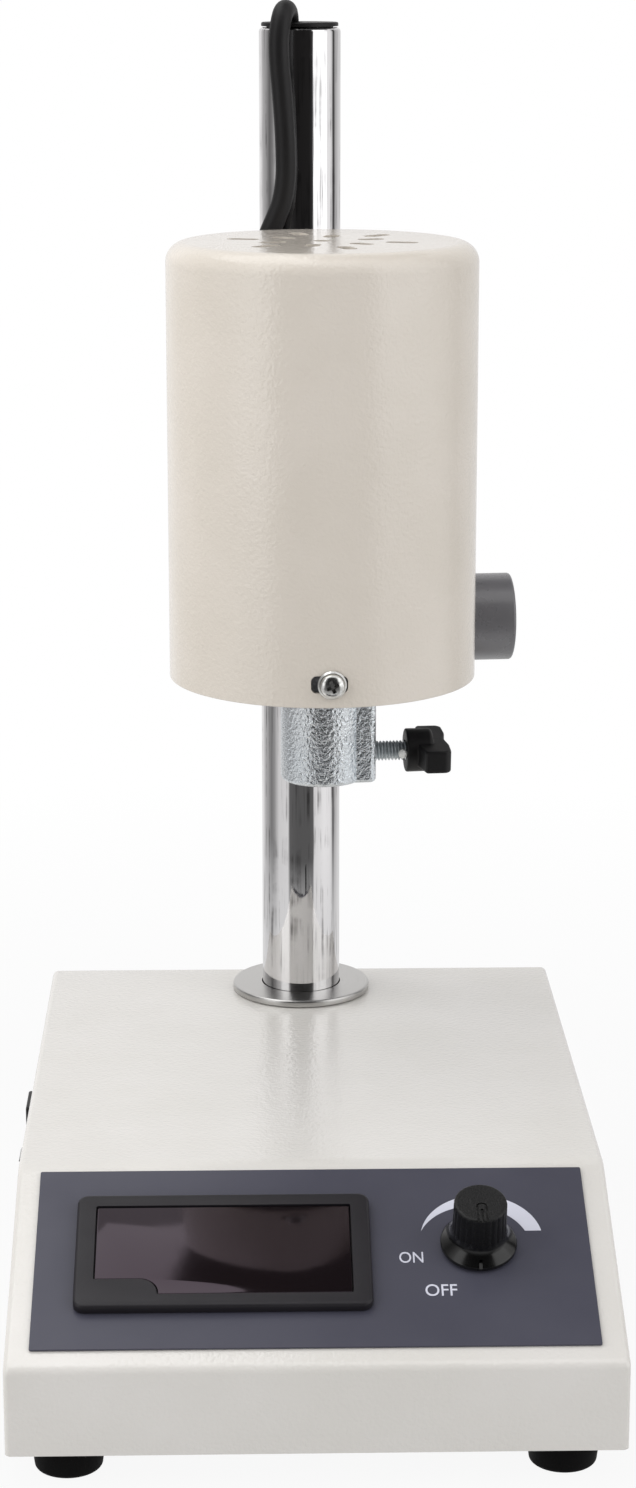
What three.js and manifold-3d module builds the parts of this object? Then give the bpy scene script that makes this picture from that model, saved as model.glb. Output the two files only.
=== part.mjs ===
// A laboratory homogenizer: a motor head clamped to a chromed column over a sloping control base.
//
// Millimetres, +Z up, +X to the right of someone facing the controls, +Y to the rear.
// The origin is the middle of the footprint, on the bench. Inside the file, heights are measured
// from the lower edge of the base's cover, and depths from the cover's front face.

import * as THREE from "three";
import { mergeVertices } from "three/addons/utils/BufferGeometryUtils.js";
import Module from "manifold-3d";

const wasm = await Module();
wasm.setup();

// Clearances, cutting allowance and facet counts
const gap = 0.3; // between pieces that touch
const runningGap = 0.15; // between a shaft and what it turns in or carries
const overrun = 5; // how far a cutting shape reaches past the faces that it cuts
const roundSides = 48;
const middleSides = 28;
const smallSides = 18;
const tinySides = 12;
const filletSteps = 2;

// Base cover, folded from sheet
const baseWidth = 162;
const baseDepth = 244;
const frontHeight = 24.4;
const deckHeight = 52.8;
const slopeRun = 70.4;
const sheet = 1.5;
const foldRadius = 3;
const browRadius = 20; // where the deck turns down into the slope
const sideRadius = 1.8;
const flangeWidth = 20;

// Base plate, feet and the screws that hold both
const plateRecess = 0.8;
const plateThickness = 1.5;
const footHeight = 10.3;
const footRadius = 10.2;
const footTaper = 1.3;
const footEdge = 1.2;
const footInsetX = 15.7;
const footInsetY = 16;
const footScrewRadius = 2;
const footScrewHeadRadius = 3.8;
const footScrewHeadHeight = 2.8;
const footCounterboreDepth = 4.2;
const footScrewReach = 2.5;

// Control panel overlay, inside the slope's edges
const panelSideMargin = 6.75;
const panelEdgeMargin = 4.95;
const panelRise = 1.05;
const panelShift = -0.25;
const panelThickness = 0.5;

// Panel meter: frame, window and display board
const meterShare = -0.15; // of the base's width, from its middle
const meterRise = 1.2;
const bezelWidth = 78.8;
const bezelHeight = 41.8;
const bezelProud = 2.5;
const bezelCorner = 3;
const bezelOverhang = 1.9;
const bezelLip = 1.6;
const caseDepth = 20;
const caseWall = 1.5;
const windowFrame = 5.4;
const windowSill = 4.8;
const windowThickness = 1.6;
const windowLedge = 1.6;
const windowNotchWidth = 16.8;
const windowNotchHeight = 5.6;
const meterBoardThickness = 1.6;
const meterBoardDepth = 9;
const digitMargin = 9;
const digitSill = 6.6;
const digitDepth = 6;

// Speed knob and its potentiometer
const knobShare = 0.2716; // of the base's width, from its middle
const knobRise = 4.05;
const knobHeight = 16;
const knobLift = 0.6;
const knobSkirtRadius = 10.3;
const knobSkirtHeight = 1.4;
const knobNeckRadius = 7.2;
const knobNeckHeight = 5.6;
const knobTopRadius = 7.1;
const knobBoreDepth = 11;
const knobWall = 0.8;
const knobRecessDepth = 2.6;
const potShaftRadius = 3;
const potShaftReach = 6;
const potBushWall = 0.6;
const potBodyWall = 5.2;
const potBodyDepth = 9;
const potNutWall = 1.4;
const potNutThickness = 1.8;

// Rocker switch on the left side
const switchShare = 0.5746; // of the base's depth, from the front
const switchDrop = 17.4; // below the deck
const switchBodyWidth = 12.8;
const switchBodyHeight = 19;
const switchBodyDepth = 14;
const switchRim = 1.1;
const switchRimThickness = 1.8;
const switchWall = 0.8;
const switchPocketDepth = 8;
const rockerClearance = 0.6;
const rockerProud = 1.7;
const rockerDip = 0.7;
const rockerPivotDepth = 1;
const rockerThickness = 4.4;
const rockerTilt = THREE.MathUtils.degToRad(12);

// Mains inlet on the rear face
const inletShare = -0.3; // of the base's width, from its middle
const inletSocketWidth = 24;
const inletSocketHeight = 16.4;
const inletSocketDepth = 17;
const inletSocketCorner = 4;
const inletWall = 1.8;
const inletFloor = 5;
const inletEarWidth = 11.2;
const inletEarEnd = 10;
const inletLip = 1.6;
const inletFlangeThickness = 2.4;
const inletPinWidth = 2;
const inletPinHeight = 4;
const inletPinLength = 14;
const inletPinSpacing = 7;
const inletPinRise = 2;

// Control board with its parts, in the base
const boardSide = 0.2; // from the cover's right flange
const boardShare = 0.6; // of the base's depth, from the front
const boardWidthShare = 0.5185; // of the base's width
const boardDepth = 58;
const boardThickness = 1.6;
const boardStandOff = 8;
const standOffRadius = 3;
const standOffInset = 6;
const relayWidth = 16;
const relayDepth = 20;
const relayHeight = 15;
const capacitorRadius = 6;
const capacitorHeight = 18;
const sinkShare = 0.45; // of the board's width
const sinkDepth = 12;
const sinkHeight = 24;
const sinkFins = 6;
const sinkFinThickness = 1.6;
const sinkWeb = 3;
const transformerInset = 52;
const transformerWidth = 32;
const transformerDepth = 30;
const transformerHeight = 26;
const transformerCoilInset = 5;
const transformerCoilBulge = 7;

// Column, flange and nut
const columnInset = 21; // from the rear face
const columnRadius = 12.3;
const columnWall = 2;
const columnTop = 355.3;
const columnChamfer = 1.2;
const columnFootDrop = 12;
const flangeReach = 9.5;
const flangeThickness = 2.1;
const columnNutReach = 6.7;
const columnNutThickness = 7;

// Cap on the column, with the cable's way out
const capInset = 0.7;
const capThickness = 1.2;
const capPlugDepth = 8;
const capSlotMargin = 0.9;
const capSlotRun = 6.6;
const capSlotX = -3.4;
const capSlotForward = -9.3; // from the column's front

// Motor cable, from inside the cap down to the gland behind the housing. Each point gives the
// distance to the right, the distance in front of the column, and the share of the way up from
// the cable's lower end to the column's top.
const cableRadius = 3.1;
const cableSides = 7;
const cableSteps = 56;
const cableRoute = [
  [-3.4, -11.7, 0.9628],
  [-3.4, -11.3, 0.9853],
  [-3.4, -9.8, 1.0103],
  [-3.7, -6.9, 1.0263],
  [-4.4, -2.9, 1.0334],
  [-5.3, 0.6, 1.025],
  [-6.1, 2.3, 1.0019],
  [-6.5, 2.8, 0.9724],
  [-6.3, 2.8, 0.9339],
  [-5.6, 2.7, 0.8826],
  [-4.9, 2.6, 0.8249],
  [-4.5, 2.5, 0.7672],
  [-4.6, 2.5, 0.7191],
  [-5.6, 2.5, 0.6787],
  [-7.3, 2.6, 0.6492],
  [-9.3, 2.7, 0.6196],
  [-11.9, 2.8, 0.5779],
  [-14.6, 3.1, 0.517],
  [-17, 3.4, 0.4272],
  [-18.6, 3.7, 0.3117],
  [-19.2, 3.8, 0.1835],
  [-19.2, 3.8, 0.0808],
  [-19.2, 3.8, 0],
];

// Head: how far the housing stands in front of the column, and how far the head is swung at rest
const headClearance = 5;
const headSwing = THREE.MathUtils.degToRad(4.8);

// Motor housing, a can open at the bottom
const housingBottom = 170.6;
const housingHeadroom = 19.3; // over the motor's shaft
const housingRadius = 44.9;
const housingWall = 1.5;
const housingRoof = 2;
const housingFillet = 5.8;
const centreVentRadius = 2.5;
const innerVentRing = 14.8;
const innerVentLength = 8;
const outerVentRing = 23.3;
const outerVentLength = 9.5;
const ventWidth = 4.5;
const ventsPerRing = 6;
const innerVentTurn = THREE.MathUtils.degToRad(13.2);
const outerVentTurn = THREE.MathUtils.degToRad(-19.1);
const housingTurn = THREE.MathUtils.degToRad(-3.6);
const slotLength = 10.4;
const slotWidth = 4.8;
const slotRise = 6.8;
const slotScrewOffset = THREE.MathUtils.degToRad(0.9);

// Screws of the housing
const lowerScrewCount = 3;
const lowerScrewRadius = 1.8;
const lowerScrewLength = 9;
const washerRadius = 4.1;
const washerThickness = 0.9;
const screwHeadRadius = 3.45;
const screwHeadHeight = 2.3;
const crossWidth = 1.1;
const crossLength = 3.8;
const crossDepth = 1.3;
const upperScrewAngle = THREE.MathUtils.degToRad(111);
const upperScrewRadius = 1.4;
const upperScrewLength = 7;
const upperHeadRadius = 3.1;
const upperHeadHeight = 2;

// Head bracket: end plate inside the housing, arm and column collar
const endPlateClearance = 0.5;
const endPlateRise = 0.4;
const endPlateThickness = 12.6;
const exhaustShare = 0.65; // of the housing's radius
const exhaustLength = 11;
const exhaustWidth = 7;
const exhaustCount = 4;
const armWidth = 30;
const collarWall = 7.7;
const collarDrop = 15.6; // below the housing's lower edge
const collarHeight = 40;
const clampRise = 3;
const clampBossWall = 4.7;
const clampBossLength = 11;
const glandShelfWall = 4.35;
const glandShelfThickness = 11;

// Tool socket under the end plate
const socketLength = 31.9;
const socketBore = 8.5;
const socketWall = 3.8;
const socketNeckStep = 1.1;
const socketNeckHeight = 4;
const socketEdge = 1.4;
const lugLength = 3;
const lugHalfWidth = 8.1;
const lugCorner = 2;

// Wing screw across the socket
const wingRise = 7.8; // above the socket's lower end
const wingStudRadius = 2.95;
const wingTipRadius = 2.2;
const wingTipLength = 2.2;
const wingTravel = 9.5;
const wingHubRadius = 6.5;
const wingHubLength = 8;
const wingLength = 12.3;
const wingSpan = 25;
const wingThickness = 6.8;
const wingFlare = 2.8;
const wingRound = 3.2;
const wingTilt = THREE.MathUtils.degToRad(5);
const wingStudSeat = 9;

// Clamp knob and stud on the collar
const clampPadLength = 3;
const clampPadRadius = 3.9;
const clampStudRadius = 4;
const clampTravel = 8;
const clampKnobRadius = 13.65;
const clampKnobLength = 27.4;
const clampKnobEdge = 0.8;
const clampKnobNeckRadius = 8;
const clampKnobNeckLength = 4;
const clampStudSeat = 14;

// Cable gland on the bracket's shelf
const glandWall = 2.6;
const glandHeight = 9;
const glandNoseWall = 1.2;
const glandNoseHeight = 4;
const glandThreadLength = 8;
const glandSeatDepth = 8.6;
const glandFloor = 3;

// Motor: bearings
const bearingRadius = 11;
const bearingWidth = 7;
const bearingShoulder = 3;

// Motor: shaft, coupling, fan, armature and commutator
const shaftRadius = 4;
const shaftEnd = 2.7;
const couplingWall = 2.35;
const couplingLength = 12.5;
const couplingClearance = 2;
const couplingDriveWidth = 3;
const couplingDriveDepth = 1.6;
const fanClearance = 1.1;
const fanHeight = 8.5;
const fanDisc = 1.5;
const fanHubWall = 5;
const fanBladeThickness = 1.4;
const fanBlades = 8;
const armatureLength = 40;
const windingShare = 0.82; // of the armature's radius
const windingEndShare = 0.58; // of the armature's radius
const windingOverhang = 5.4;
const windingClearance = 2.8;
const commutatorShare = 0.55; // of the armature's radius
const commutatorLength = 11.6;

// Motor: stator, coils and the two frames
const statorClearance = 5.4;
const yokeThickness = 5;
const armatureShare = 0.5263; // of the stator's radius
const airGap = 0.6;
const poleShare = 0.29; // of the stator's radius
const shoeThickness = 2;
const shoeShare = 0.73; // of the armature's radius
const coilShare = 0.4; // of half the pole's width
const coilOverhang = 6;
const pillarRadius = 2.4;
const pillarCount = 4;
const lowerFrameThickness = 3;
const spokeClearance = 1.4;
const spokeThickness = 4;
const spokeWidth = 11;
const rimHeight = 9;
const rimWidth = 7;
const hubWall = 3;
const hubFloor = 2;
const shaftClearance = 2;

// Motor: brushes and their holders
const brushWidth = 5.4;
const brushThickness = 7;
const brushLength = 13;
const holderWall = 2.2;
const holderClearance = 2;

// Directions
const quarterTurn = Math.PI / 2;
const fullTurn = 2 * Math.PI;
const slopeAngle = Math.atan2(deckHeight - frontHeight, slopeRun);

// Sizes and places that follow from those above: base and panel
const slopeLength = Math.hypot(slopeRun, deckHeight - frontHeight);
const deckUnderside = deckHeight - sheet;
const plateTop = plateRecess + plateThickness;
const flangeBottom = plateTop + gap;
const flangeTop = flangeBottom + sheet;
const footX = baseWidth / 2 - footInsetX;
const footRows = { front: footInsetY, rear: baseDepth - footInsetY };
const footTop = plateRecess - gap;
const overlayBottom = gap;
const overlayTop = overlayBottom + panelThickness;
const panelWidth = baseWidth - 2 * panelSideMargin;
const panelHeight = slopeLength - 2 * panelEdgeMargin;
const panelCentreS = slopeLength / 2 + panelRise;
const meterX = baseWidth * meterShare;
const meterS = slopeLength / 2 + meterRise;
const bezelBottom = overlayTop + gap;
const caseWidth = bezelWidth - 2 * bezelOverhang;
const caseHeight = bezelHeight - 2 * bezelLip;
const windowWidth = bezelWidth - 2 * windowFrame;
const windowHeight = bezelHeight - 2 * windowSill;
const knobX = baseWidth * knobShare;
const knobS = slopeLength / 2 + knobRise;
const potBushRadius = potShaftRadius + potBushWall;
const potBodyRadius = potShaftRadius + potBodyWall;
const switchY = baseDepth * switchShare;
const switchZ = deckHeight - switchDrop;
const switchPocketWidth = switchBodyWidth - 2 * switchWall;
const switchPocketHeight = switchBodyHeight - 2 * switchWall;
const inletX = baseWidth * inletShare;
const inletZ = deckHeight / 2;
const inletBodyWidth = inletSocketWidth + 2 * inletWall;
const inletBodyHeight = inletSocketHeight + 2 * inletWall;
const inletBodyDepth = inletSocketDepth + inletFloor;
const inletFlangeWidth = inletBodyWidth + 2 * inletEarWidth;
const inletFlangeHeight = inletBodyHeight + 2 * inletLip;
const boardWidth = baseWidth * boardWidthShare;
const boardX = baseWidth / 2 - sheet - flangeWidth - boardSide - boardWidth / 2;
const boardY = baseDepth * boardShare;
const sinkWidth = boardWidth * sinkShare;
const transformerX = transformerWidth / 2 + flangeWidth + sheet + gap - baseWidth / 2;
const transformerY = baseDepth - transformerInset;

// Column and cap
const columnY = baseDepth - columnInset;
const columnBore = columnRadius - columnWall;
const flangeRadius = columnRadius + flangeReach;
const columnNutRadius = columnRadius + columnNutReach;
const capRadius = columnRadius - capInset;
const capSlotWidth = 2 * (cableRadius + capSlotMargin);
const capSlotLength = 2 * cableRadius + capSlotRun;
const capSlotY = -columnRadius - capSlotForward;

// Head
const armLength = housingRadius + columnRadius + headClearance;
const slotHeight = housingBottom + slotRise;
const endPlateRadius = housingRadius - housingWall - endPlateClearance;
const endPlateBottom = housingBottom + endPlateRise;
const endPlateTop = endPlateBottom + endPlateThickness;
const exhaustRing = housingRadius * exhaustShare;
const collarRadius = columnRadius + collarWall;
const collarBottom = housingBottom - collarDrop;
const collarTop = collarBottom + collarHeight;
const clampHeight = housingBottom + clampRise;
const clampBoreRadius = clampStudRadius + gap;
const clampBossRadius = clampBoreRadius + clampBossWall;
const clampBossReach = collarRadius + clampBossLength;
const clampKnobStart = clampBossReach + clampTravel;
const clampKnobEnd = clampKnobStart + clampKnobLength;
const socketRadius = socketBore + socketWall;
const socketNeckBore = socketBore - socketNeckStep;
const socketTop = endPlateBottom - gap;
const socketBottom = socketTop - socketLength;
const lugReach = socketRadius + lugLength;
const wingHeight = socketBottom + wingRise;
const wingTipStart = socketBore + gap;
const wingHubStart = lugReach + wingTravel;
const glandRadius = cableRadius + gap + glandWall;
const glandNoseRadius = cableRadius + gap + glandNoseWall;
const glandThreadRadius = cableRadius + gap + socketNeckStep / 2;
const glandShelfRadius = glandThreadRadius + glandShelfWall;
const glandSeat = collarTop + gap;
const cableBottom = glandSeat + glandHeight - glandSeatDepth + glandFloor;

// Motor, from its lower end up
const shaftBore = shaftRadius + runningGap;
const shaftHole = shaftRadius + shaftClearance;
const couplingRadius = shaftBore + couplingWall;
const couplingTop = endPlateBottom - couplingClearance;
const couplingBottom = couplingTop - couplingLength;
const shaftBottom = couplingBottom + couplingDriveDepth + gap;
const lowerFrameBottom = endPlateTop + gap;
const statorRadius = housingRadius - housingWall - statorClearance;
const statorBore = statorRadius - yokeThickness;
const armatureRadius = statorRadius * armatureShare;
const windingRadius = armatureRadius * windingShare;
const windingEndRadius = armatureRadius * windingEndShare;
const commutatorRadius = armatureRadius * commutatorShare;
const shoeHalfWidth = armatureRadius * shoeShare;
const poleHalfWidth = statorRadius * poleShare;
const coilThickness = poleHalfWidth * coilShare;
const coilHalfWidth = poleHalfWidth + gap + coilThickness;
const coilInside = armatureRadius + airGap + shoeThickness + gap;
const coilOutside = Math.sqrt((statorBore - 2 * gap) ** 2 - coilHalfWidth ** 2);
const fanRadius = statorBore - shaftClearance;
const fanHubRadius = shaftRadius + fanHubWall;
const fanBottom = lowerFrameBottom + lowerFrameThickness + fanClearance;
const fanTop = fanBottom + fanHeight;
const armatureBottom = fanTop + windingClearance + windingOverhang;
const armatureTop = armatureBottom + armatureLength;
const commutatorBottom = armatureTop + windingOverhang + windingClearance;
const commutatorTop = commutatorBottom + commutatorLength;
const brushHeight = (commutatorBottom + commutatorTop) / 2;
const holderStart = commutatorRadius + holderClearance;
const holderEnd = statorBore;
const spokeBottom = commutatorTop + spokeClearance;
const upperFrameTop = spokeBottom + spokeThickness;
const upperFrameBottom = upperFrameTop - rimHeight;
const upperBearingBottom = spokeBottom + hubFloor + gap;
const shaftTop = upperBearingBottom + bearingWidth + shaftEnd;
const upperScrewHeight = upperFrameTop - rimHeight / 2;
const housingTop = shaftTop + housingHeadroom;

// Materials
const cream = new THREE.MeshStandardMaterial({ color: 0xe2ddd4, roughness: 0.42 });
const slate = new THREE.MeshStandardMaterial({ color: 0x53525f, roughness: 0.55 });
const blackPlastic = new THREE.MeshStandardMaterial({ color: 0x1c1b1d, roughness: 0.5 });
const rubber = new THREE.MeshStandardMaterial({ color: 0x171617, roughness: 0.8 });
const greyPlastic = new THREE.MeshStandardMaterial({ color: 0x6d6e70, roughness: 0.55 });
const smokedGlass = new THREE.MeshStandardMaterial({ color: 0x2a1f22, roughness: 0.08 });
const chrome = new THREE.MeshStandardMaterial({ color: 0xc9c9c9, roughness: 0.06, metalness: 1 });
const zinc = new THREE.MeshStandardMaterial({ color: 0xa9aeb2, roughness: 0.35, metalness: 1 });
const steel = new THREE.MeshStandardMaterial({ color: 0xb5b5b5, roughness: 0.3, metalness: 1 });
const aluminium = new THREE.MeshStandardMaterial({ color: 0xb9bbbd, roughness: 0.5, metalness: 1 });
const iron = new THREE.MeshStandardMaterial({ color: 0x5d5e61, roughness: 0.6, metalness: 0.8 });
const copper = new THREE.MeshStandardMaterial({ color: 0xa35a32, roughness: 0.4, metalness: 0.9 });
const brass = new THREE.MeshStandardMaterial({ color: 0xb08d47, roughness: 0.35, metalness: 1 });
const carbon = new THREE.MeshStandardMaterial({ color: 0x2a2a2c, roughness: 0.7 });
const boardGreen = new THREE.MeshStandardMaterial({ color: 0x2e5a3a, roughness: 0.5 });

// Solids and meshes

function solidOf(geometry) {
  const plain = geometry.index ? geometry.toNonIndexed() : geometry.clone();
  for (const name of Object.keys(plain.attributes)) {
    if (name !== "position") plain.deleteAttribute(name);
  }
  const merged = mergeVertices(plain, 1e-4);
  return new wasm.Manifold(
    new wasm.Mesh({
      numProp: 3,
      vertProperties: merged.attributes.position.array,
      triVerts: new Uint32Array(merged.index.array),
    }),
  );
}

function geometryOf(solid) {
  const mesh = solid.getMesh();
  return new THREE.BufferGeometry()
    .setAttribute("position", new THREE.BufferAttribute(mesh.vertProperties, 3))
    .setIndex(new THREE.BufferAttribute(mesh.triVerts, 1));
}

function join(...geometries) {
  return geometryOf(geometries.map(solidOf).reduce((all, next) => all.add(next)));
}

function cut(body, ...tools) {
  return geometryOf(tools.map(solidOf).reduce((left, tool) => left.subtract(tool), solidOf(body)));
}

function piece(name, geometry, material, parent) {
  const mesh = new THREE.Mesh(geometry, material);
  mesh.name = name;
  parent.add(mesh);
  return mesh;
}

// A cylinder standing on the Z axis between two heights.
function rod(radius, bottom, top, sides = middleSides) {
  return new THREE.CylinderGeometry(radius, radius, top - bottom, sides)
    .rotateX(quarterTurn)
    .translate(0, 0, (top + bottom) / 2);
}

// A tube standing on the Z axis between two heights.
function tube(outer, inner, bottom, top, sides = middleSides) {
  return turned(
    [
      [inner, bottom],
      [outer, bottom],
      [outer, top],
      [inner, top],
      [inner, bottom],
    ],
    sides,
  );
}

// A profile of [radius, height] points turned round the Z axis, listed from the bottom outwards and up.
function turned(profile, sides = middleSides) {
  const points = profile.map(([radius, height]) => new THREE.Vector2(radius, height));
  return new THREE.LatheGeometry(points, sides).rotateX(quarterTurn);
}

// Points of a quarter round from one direction to the next, for use in a turned profile.
function roundPoints(centreR, centreZ, radius, from, to, steps = filletSteps) {
  return Array.from({ length: steps + 1 }, (_, i) => {
    const angle = from + ((to - from) * i) / steps;
    return [centreR + radius * Math.cos(angle), centreZ + radius * Math.sin(angle)];
  });
}

// A box from its width, depth and height, centred on x and y and standing on a height.
function block(width, depth, height, x, y, bottom) {
  return new THREE.BoxGeometry(width, depth, height).translate(x, y, bottom + height / 2);
}

// A flat outline in X and Y given a thickness from one height to another.
function slab(outline, bottom, top, curveSegments = 6) {
  return new THREE.ExtrudeGeometry(outline, {
    depth: top - bottom,
    bevelEnabled: false,
    curveSegments,
  }).translate(0, 0, bottom);
}

function roundedRectangle(width, height, radius) {
  const x = width / 2;
  const y = height / 2;
  const outline = new THREE.Shape();
  outline.moveTo(-x + radius, -y);
  outline.lineTo(x - radius, -y);
  outline.absarc(x - radius, -y + radius, radius, -quarterTurn, 0);
  outline.lineTo(x, y - radius);
  outline.absarc(x - radius, y - radius, radius, 0, quarterTurn);
  outline.lineTo(-x + radius, y);
  outline.absarc(-x + radius, y - radius, radius, quarterTurn, 2 * quarterTurn);
  outline.lineTo(-x, -y + radius);
  outline.absarc(-x + radius, -y + radius, radius, 2 * quarterTurn, 3 * quarterTurn);
  return outline;
}

// A round-ended slot, its length along X.
function roundSlot(length, width) {
  return roundedRectangle(length, width, width / 2);
}

// Turns a shape that stands on the Z axis to lie along +X.
function alongX(geometry) {
  return geometry.rotateY(quarterTurn);
}

// Turns a shape standing on +Z to point outwards from the Z axis, at an angle from the front.
function outwards(geometry, angle, height) {
  return geometry.rotateX(quarterTurn).rotateZ(angle).translate(0, 0, height);
}

// An outline in depth and height, run across the machine and centred on its middle plane.
function across(outline, width, bevel) {
  const options = bevel
    ? {
        depth: width - 2 * bevel,
        bevelThickness: bevel,
        bevelSize: bevel,
        bevelOffset: -bevel,
        bevelSegments: 2,
        curveSegments: 3,
      }
    : { depth: width, bevelEnabled: false, curveSegments: 3 };
  const start = bevel ? bevel : 0;
  const turnedAcross = new THREE.Matrix4().set(0, 0, 1, 0, 1, 0, 0, 0, 0, 1, 0, 0, 0, 0, 0, 1);
  return new THREE.ExtrudeGeometry(outline, options)
    .applyMatrix4(turnedAcross)
    .translate(start - width / 2, 0, 0);
}

// The group that holds everything, and the frames that its sub-parts are built in
const homogenizer = new THREE.Group();

const panelFrame = new THREE.Group();
panelFrame.position.set(0, 0, frontHeight);
panelFrame.rotation.x = slopeAngle;
homogenizer.add(panelFrame);

const meterFrame = new THREE.Group();
meterFrame.position.set(meterX, meterS, 0);
panelFrame.add(meterFrame);

const knobFrame = new THREE.Group();
knobFrame.position.set(knobX, knobS, 0);
panelFrame.add(knobFrame);

// Outwards is +Z in the switch's frame, and up is +Y.
const switchFrame = new THREE.Group();
switchFrame.position.set(-baseWidth / 2, switchY, switchZ);
switchFrame.quaternion.setFromRotationMatrix(
  new THREE.Matrix4().makeBasis(
    new THREE.Vector3(0, -1, 0),
    new THREE.Vector3(0, 0, 1),
    new THREE.Vector3(-1, 0, 0),
  ),
);
homogenizer.add(switchFrame);

const columnFrame = new THREE.Group();
columnFrame.position.set(0, columnY, 0);
homogenizer.add(columnFrame);

const headFrame = new THREE.Group();
headFrame.position.set(0, columnY, 0);
headFrame.rotation.z = headSwing;
homogenizer.add(headFrame);

const motorFrame = new THREE.Group();
motorFrame.position.set(0, -armLength, 0);
headFrame.add(motorFrame);

// Carries a shape from a nested frame into the machine's own.
function fromFrame(geometry, frame) {
  frame.updateWorldMatrix(true, false);
  return geometry.applyMatrix4(frame.matrixWorld);
}

// The cover's side view: front face, slope, deck and rear face, drawn in by an inset.
function coverOutline(inset, bottom, radius) {
  const rise = Math.tan(slopeAngle);
  const drop = inset / Math.cos(slopeAngle);
  const front = inset;
  const rear = baseDepth - inset;
  const deck = deckHeight - inset;
  const corners = [
    [rear, bottom],
    [rear, deck],
    [(deck - frontHeight + drop) / rise, deck],
    [front, frontHeight + rise * front - drop],
    [front, bottom],
  ];
  const outline = new THREE.Shape();
  outline.moveTo(...corners[0]);
  const radii = [0, radius, browRadius - inset, radius];
  for (let i = 1; i < corners.length - 1; i++) {
    const [before, corner, after] = corners.slice(i - 1, i + 2).map((p) => new THREE.Vector2(...p));
    const back = before.sub(corner).normalize();
    const on = after.sub(corner).normalize();
    const reach = radii[i] / Math.tan(back.angleTo(on) / 2);
    outline.lineTo(corner.x + back.x * reach, corner.y + back.y * reach);
    outline.quadraticCurveTo(
      corner.x,
      corner.y,
      corner.x + on.x * reach,
      corner.y + on.y * reach,
    );
  }
  outline.lineTo(...corners[corners.length - 1]);
  return outline;
}

function meterCutout(bottom, top) {
  return slab(roundedRectangle(caseWidth + 2 * gap, caseHeight + 2 * gap, gap), bottom, top);
}

function baseCover() {
  const shell = across(coverOutline(0, -sideRadius, foldRadius), baseWidth, sideRadius);
  const belowEdge = block(
    baseWidth + overrun,
    baseDepth + 2 * overrun,
    overrun,
    0,
    baseDepth / 2,
    -overrun,
  );
  const inside = across(coverOutline(sheet, flangeTop, foldRadius - sheet), baseWidth - 2 * sheet);
  const skirt = block(
    baseWidth - 2 * sheet,
    baseDepth - 2 * sheet,
    flangeBottom + overrun,
    0,
    baseDepth / 2,
    -overrun,
  );
  const opening = block(
    baseWidth - 2 * sheet - 2 * flangeWidth,
    baseDepth - 2 * sheet - 2 * flangeWidth,
    flangeTop + overrun,
    0,
    baseDepth / 2,
    -overrun / 2,
  );
  const meterHole = fromFrame(meterCutout(-overrun, overrun), meterFrame);
  const knobHole = fromFrame(
    rod(potBushRadius + gap, -overrun, overrun, smallSides),
    knobFrame,
  );
  const switchHole = fromFrame(
    block(
      switchBodyWidth + 2 * gap,
      switchBodyHeight + 2 * gap,
      2 * overrun,
      0,
      0,
      -overrun,
    ),
    switchFrame,
  );
  const inletHole = block(
    inletBodyWidth + 2 * gap,
    2 * overrun,
    inletBodyHeight + 2 * gap,
    inletX,
    baseDepth,
    inletZ - inletBodyHeight / 2 - gap,
  );
  const columnHole = rod(
    columnRadius + gap,
    deckUnderside - overrun,
    deckHeight + overrun,
  ).translate(0, columnY, 0);
  const screwHoles = feet().map(({ x, y }) =>
    rod(footScrewRadius + gap, 0, flangeTop + overrun, tinySides).translate(x, y, 0),
  );
  return cut(
    shell,
    belowEdge,
    inside,
    skirt,
    opening,
    meterHole,
    knobHole,
    switchHole,
    inletHole,
    columnHole,
    ...screwHoles,
  );
}

function feet() {
  return Object.entries(footRows).flatMap(([row, y]) => [
    { name: row + "_left", x: -footX, y },
    { name: row + "_right", x: footX, y },
  ]);
}

function basePlate() {
  const sheetPlate = block(
    baseWidth - 2 * sheet - 2 * gap,
    baseDepth - 2 * sheet - 2 * gap,
    plateThickness,
    0,
    baseDepth / 2,
    plateRecess,
  );
  const posts = boardCorners().map(({ x, y }) =>
    rod(standOffRadius, plateRecess + plateThickness / 2, plateTop + boardStandOff, tinySides)
      .translate(x, y, 0),
  );
  const holes = feet().map(({ x, y }) =>
    rod(footScrewRadius + gap, -overrun, plateTop + overrun, tinySides).translate(x, y, 0),
  );
  return cut(join(sheetPlate, ...posts), ...holes);
}

function foot() {
  const bottomRadius = footRadius - footTaper;
  const edge = roundPoints(
    bottomRadius - footEdge,
    -footHeight + footEdge,
    footEdge,
    -quarterTurn,
    0,
  );
  const headSeat = -footHeight + footCounterboreDepth;
  return turned([
    [footScrewHeadRadius + gap, -footHeight],
    ...edge,
    [footRadius, footTop],
    [footScrewRadius + gap, footTop],
    [footScrewRadius + gap, headSeat],
    [footScrewHeadRadius + gap, headSeat],
    [footScrewHeadRadius + gap, -footHeight],
  ]);
}

function footScrew() {
  const headTop = -footHeight + footCounterboreDepth - gap;
  return turned(
    [
      [0, headTop - footScrewHeadHeight],
      [footScrewHeadRadius, headTop - footScrewHeadHeight],
      [footScrewHeadRadius, headTop],
      [footScrewRadius, headTop],
      [footScrewRadius, flangeTop + footScrewReach],
      [0, flangeTop + footScrewReach],
    ],
    tinySides,
  );
}

function controlPanel() {
  const sheetPanel = slab(
    roundedRectangle(panelWidth, panelHeight, panelThickness),
    overlayBottom,
    overlayTop,
    1,
  ).translate(panelShift, panelCentreS, 0);
  const meterHole = meterCutout(-overrun, overrun).translate(meterX, meterS, 0);
  const knobHole = rod(potBushRadius + gap, -overrun, overrun, smallSides);
  return cut(sheetPanel, meterHole, knobHole.translate(knobX, knobS, 0));
}

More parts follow.
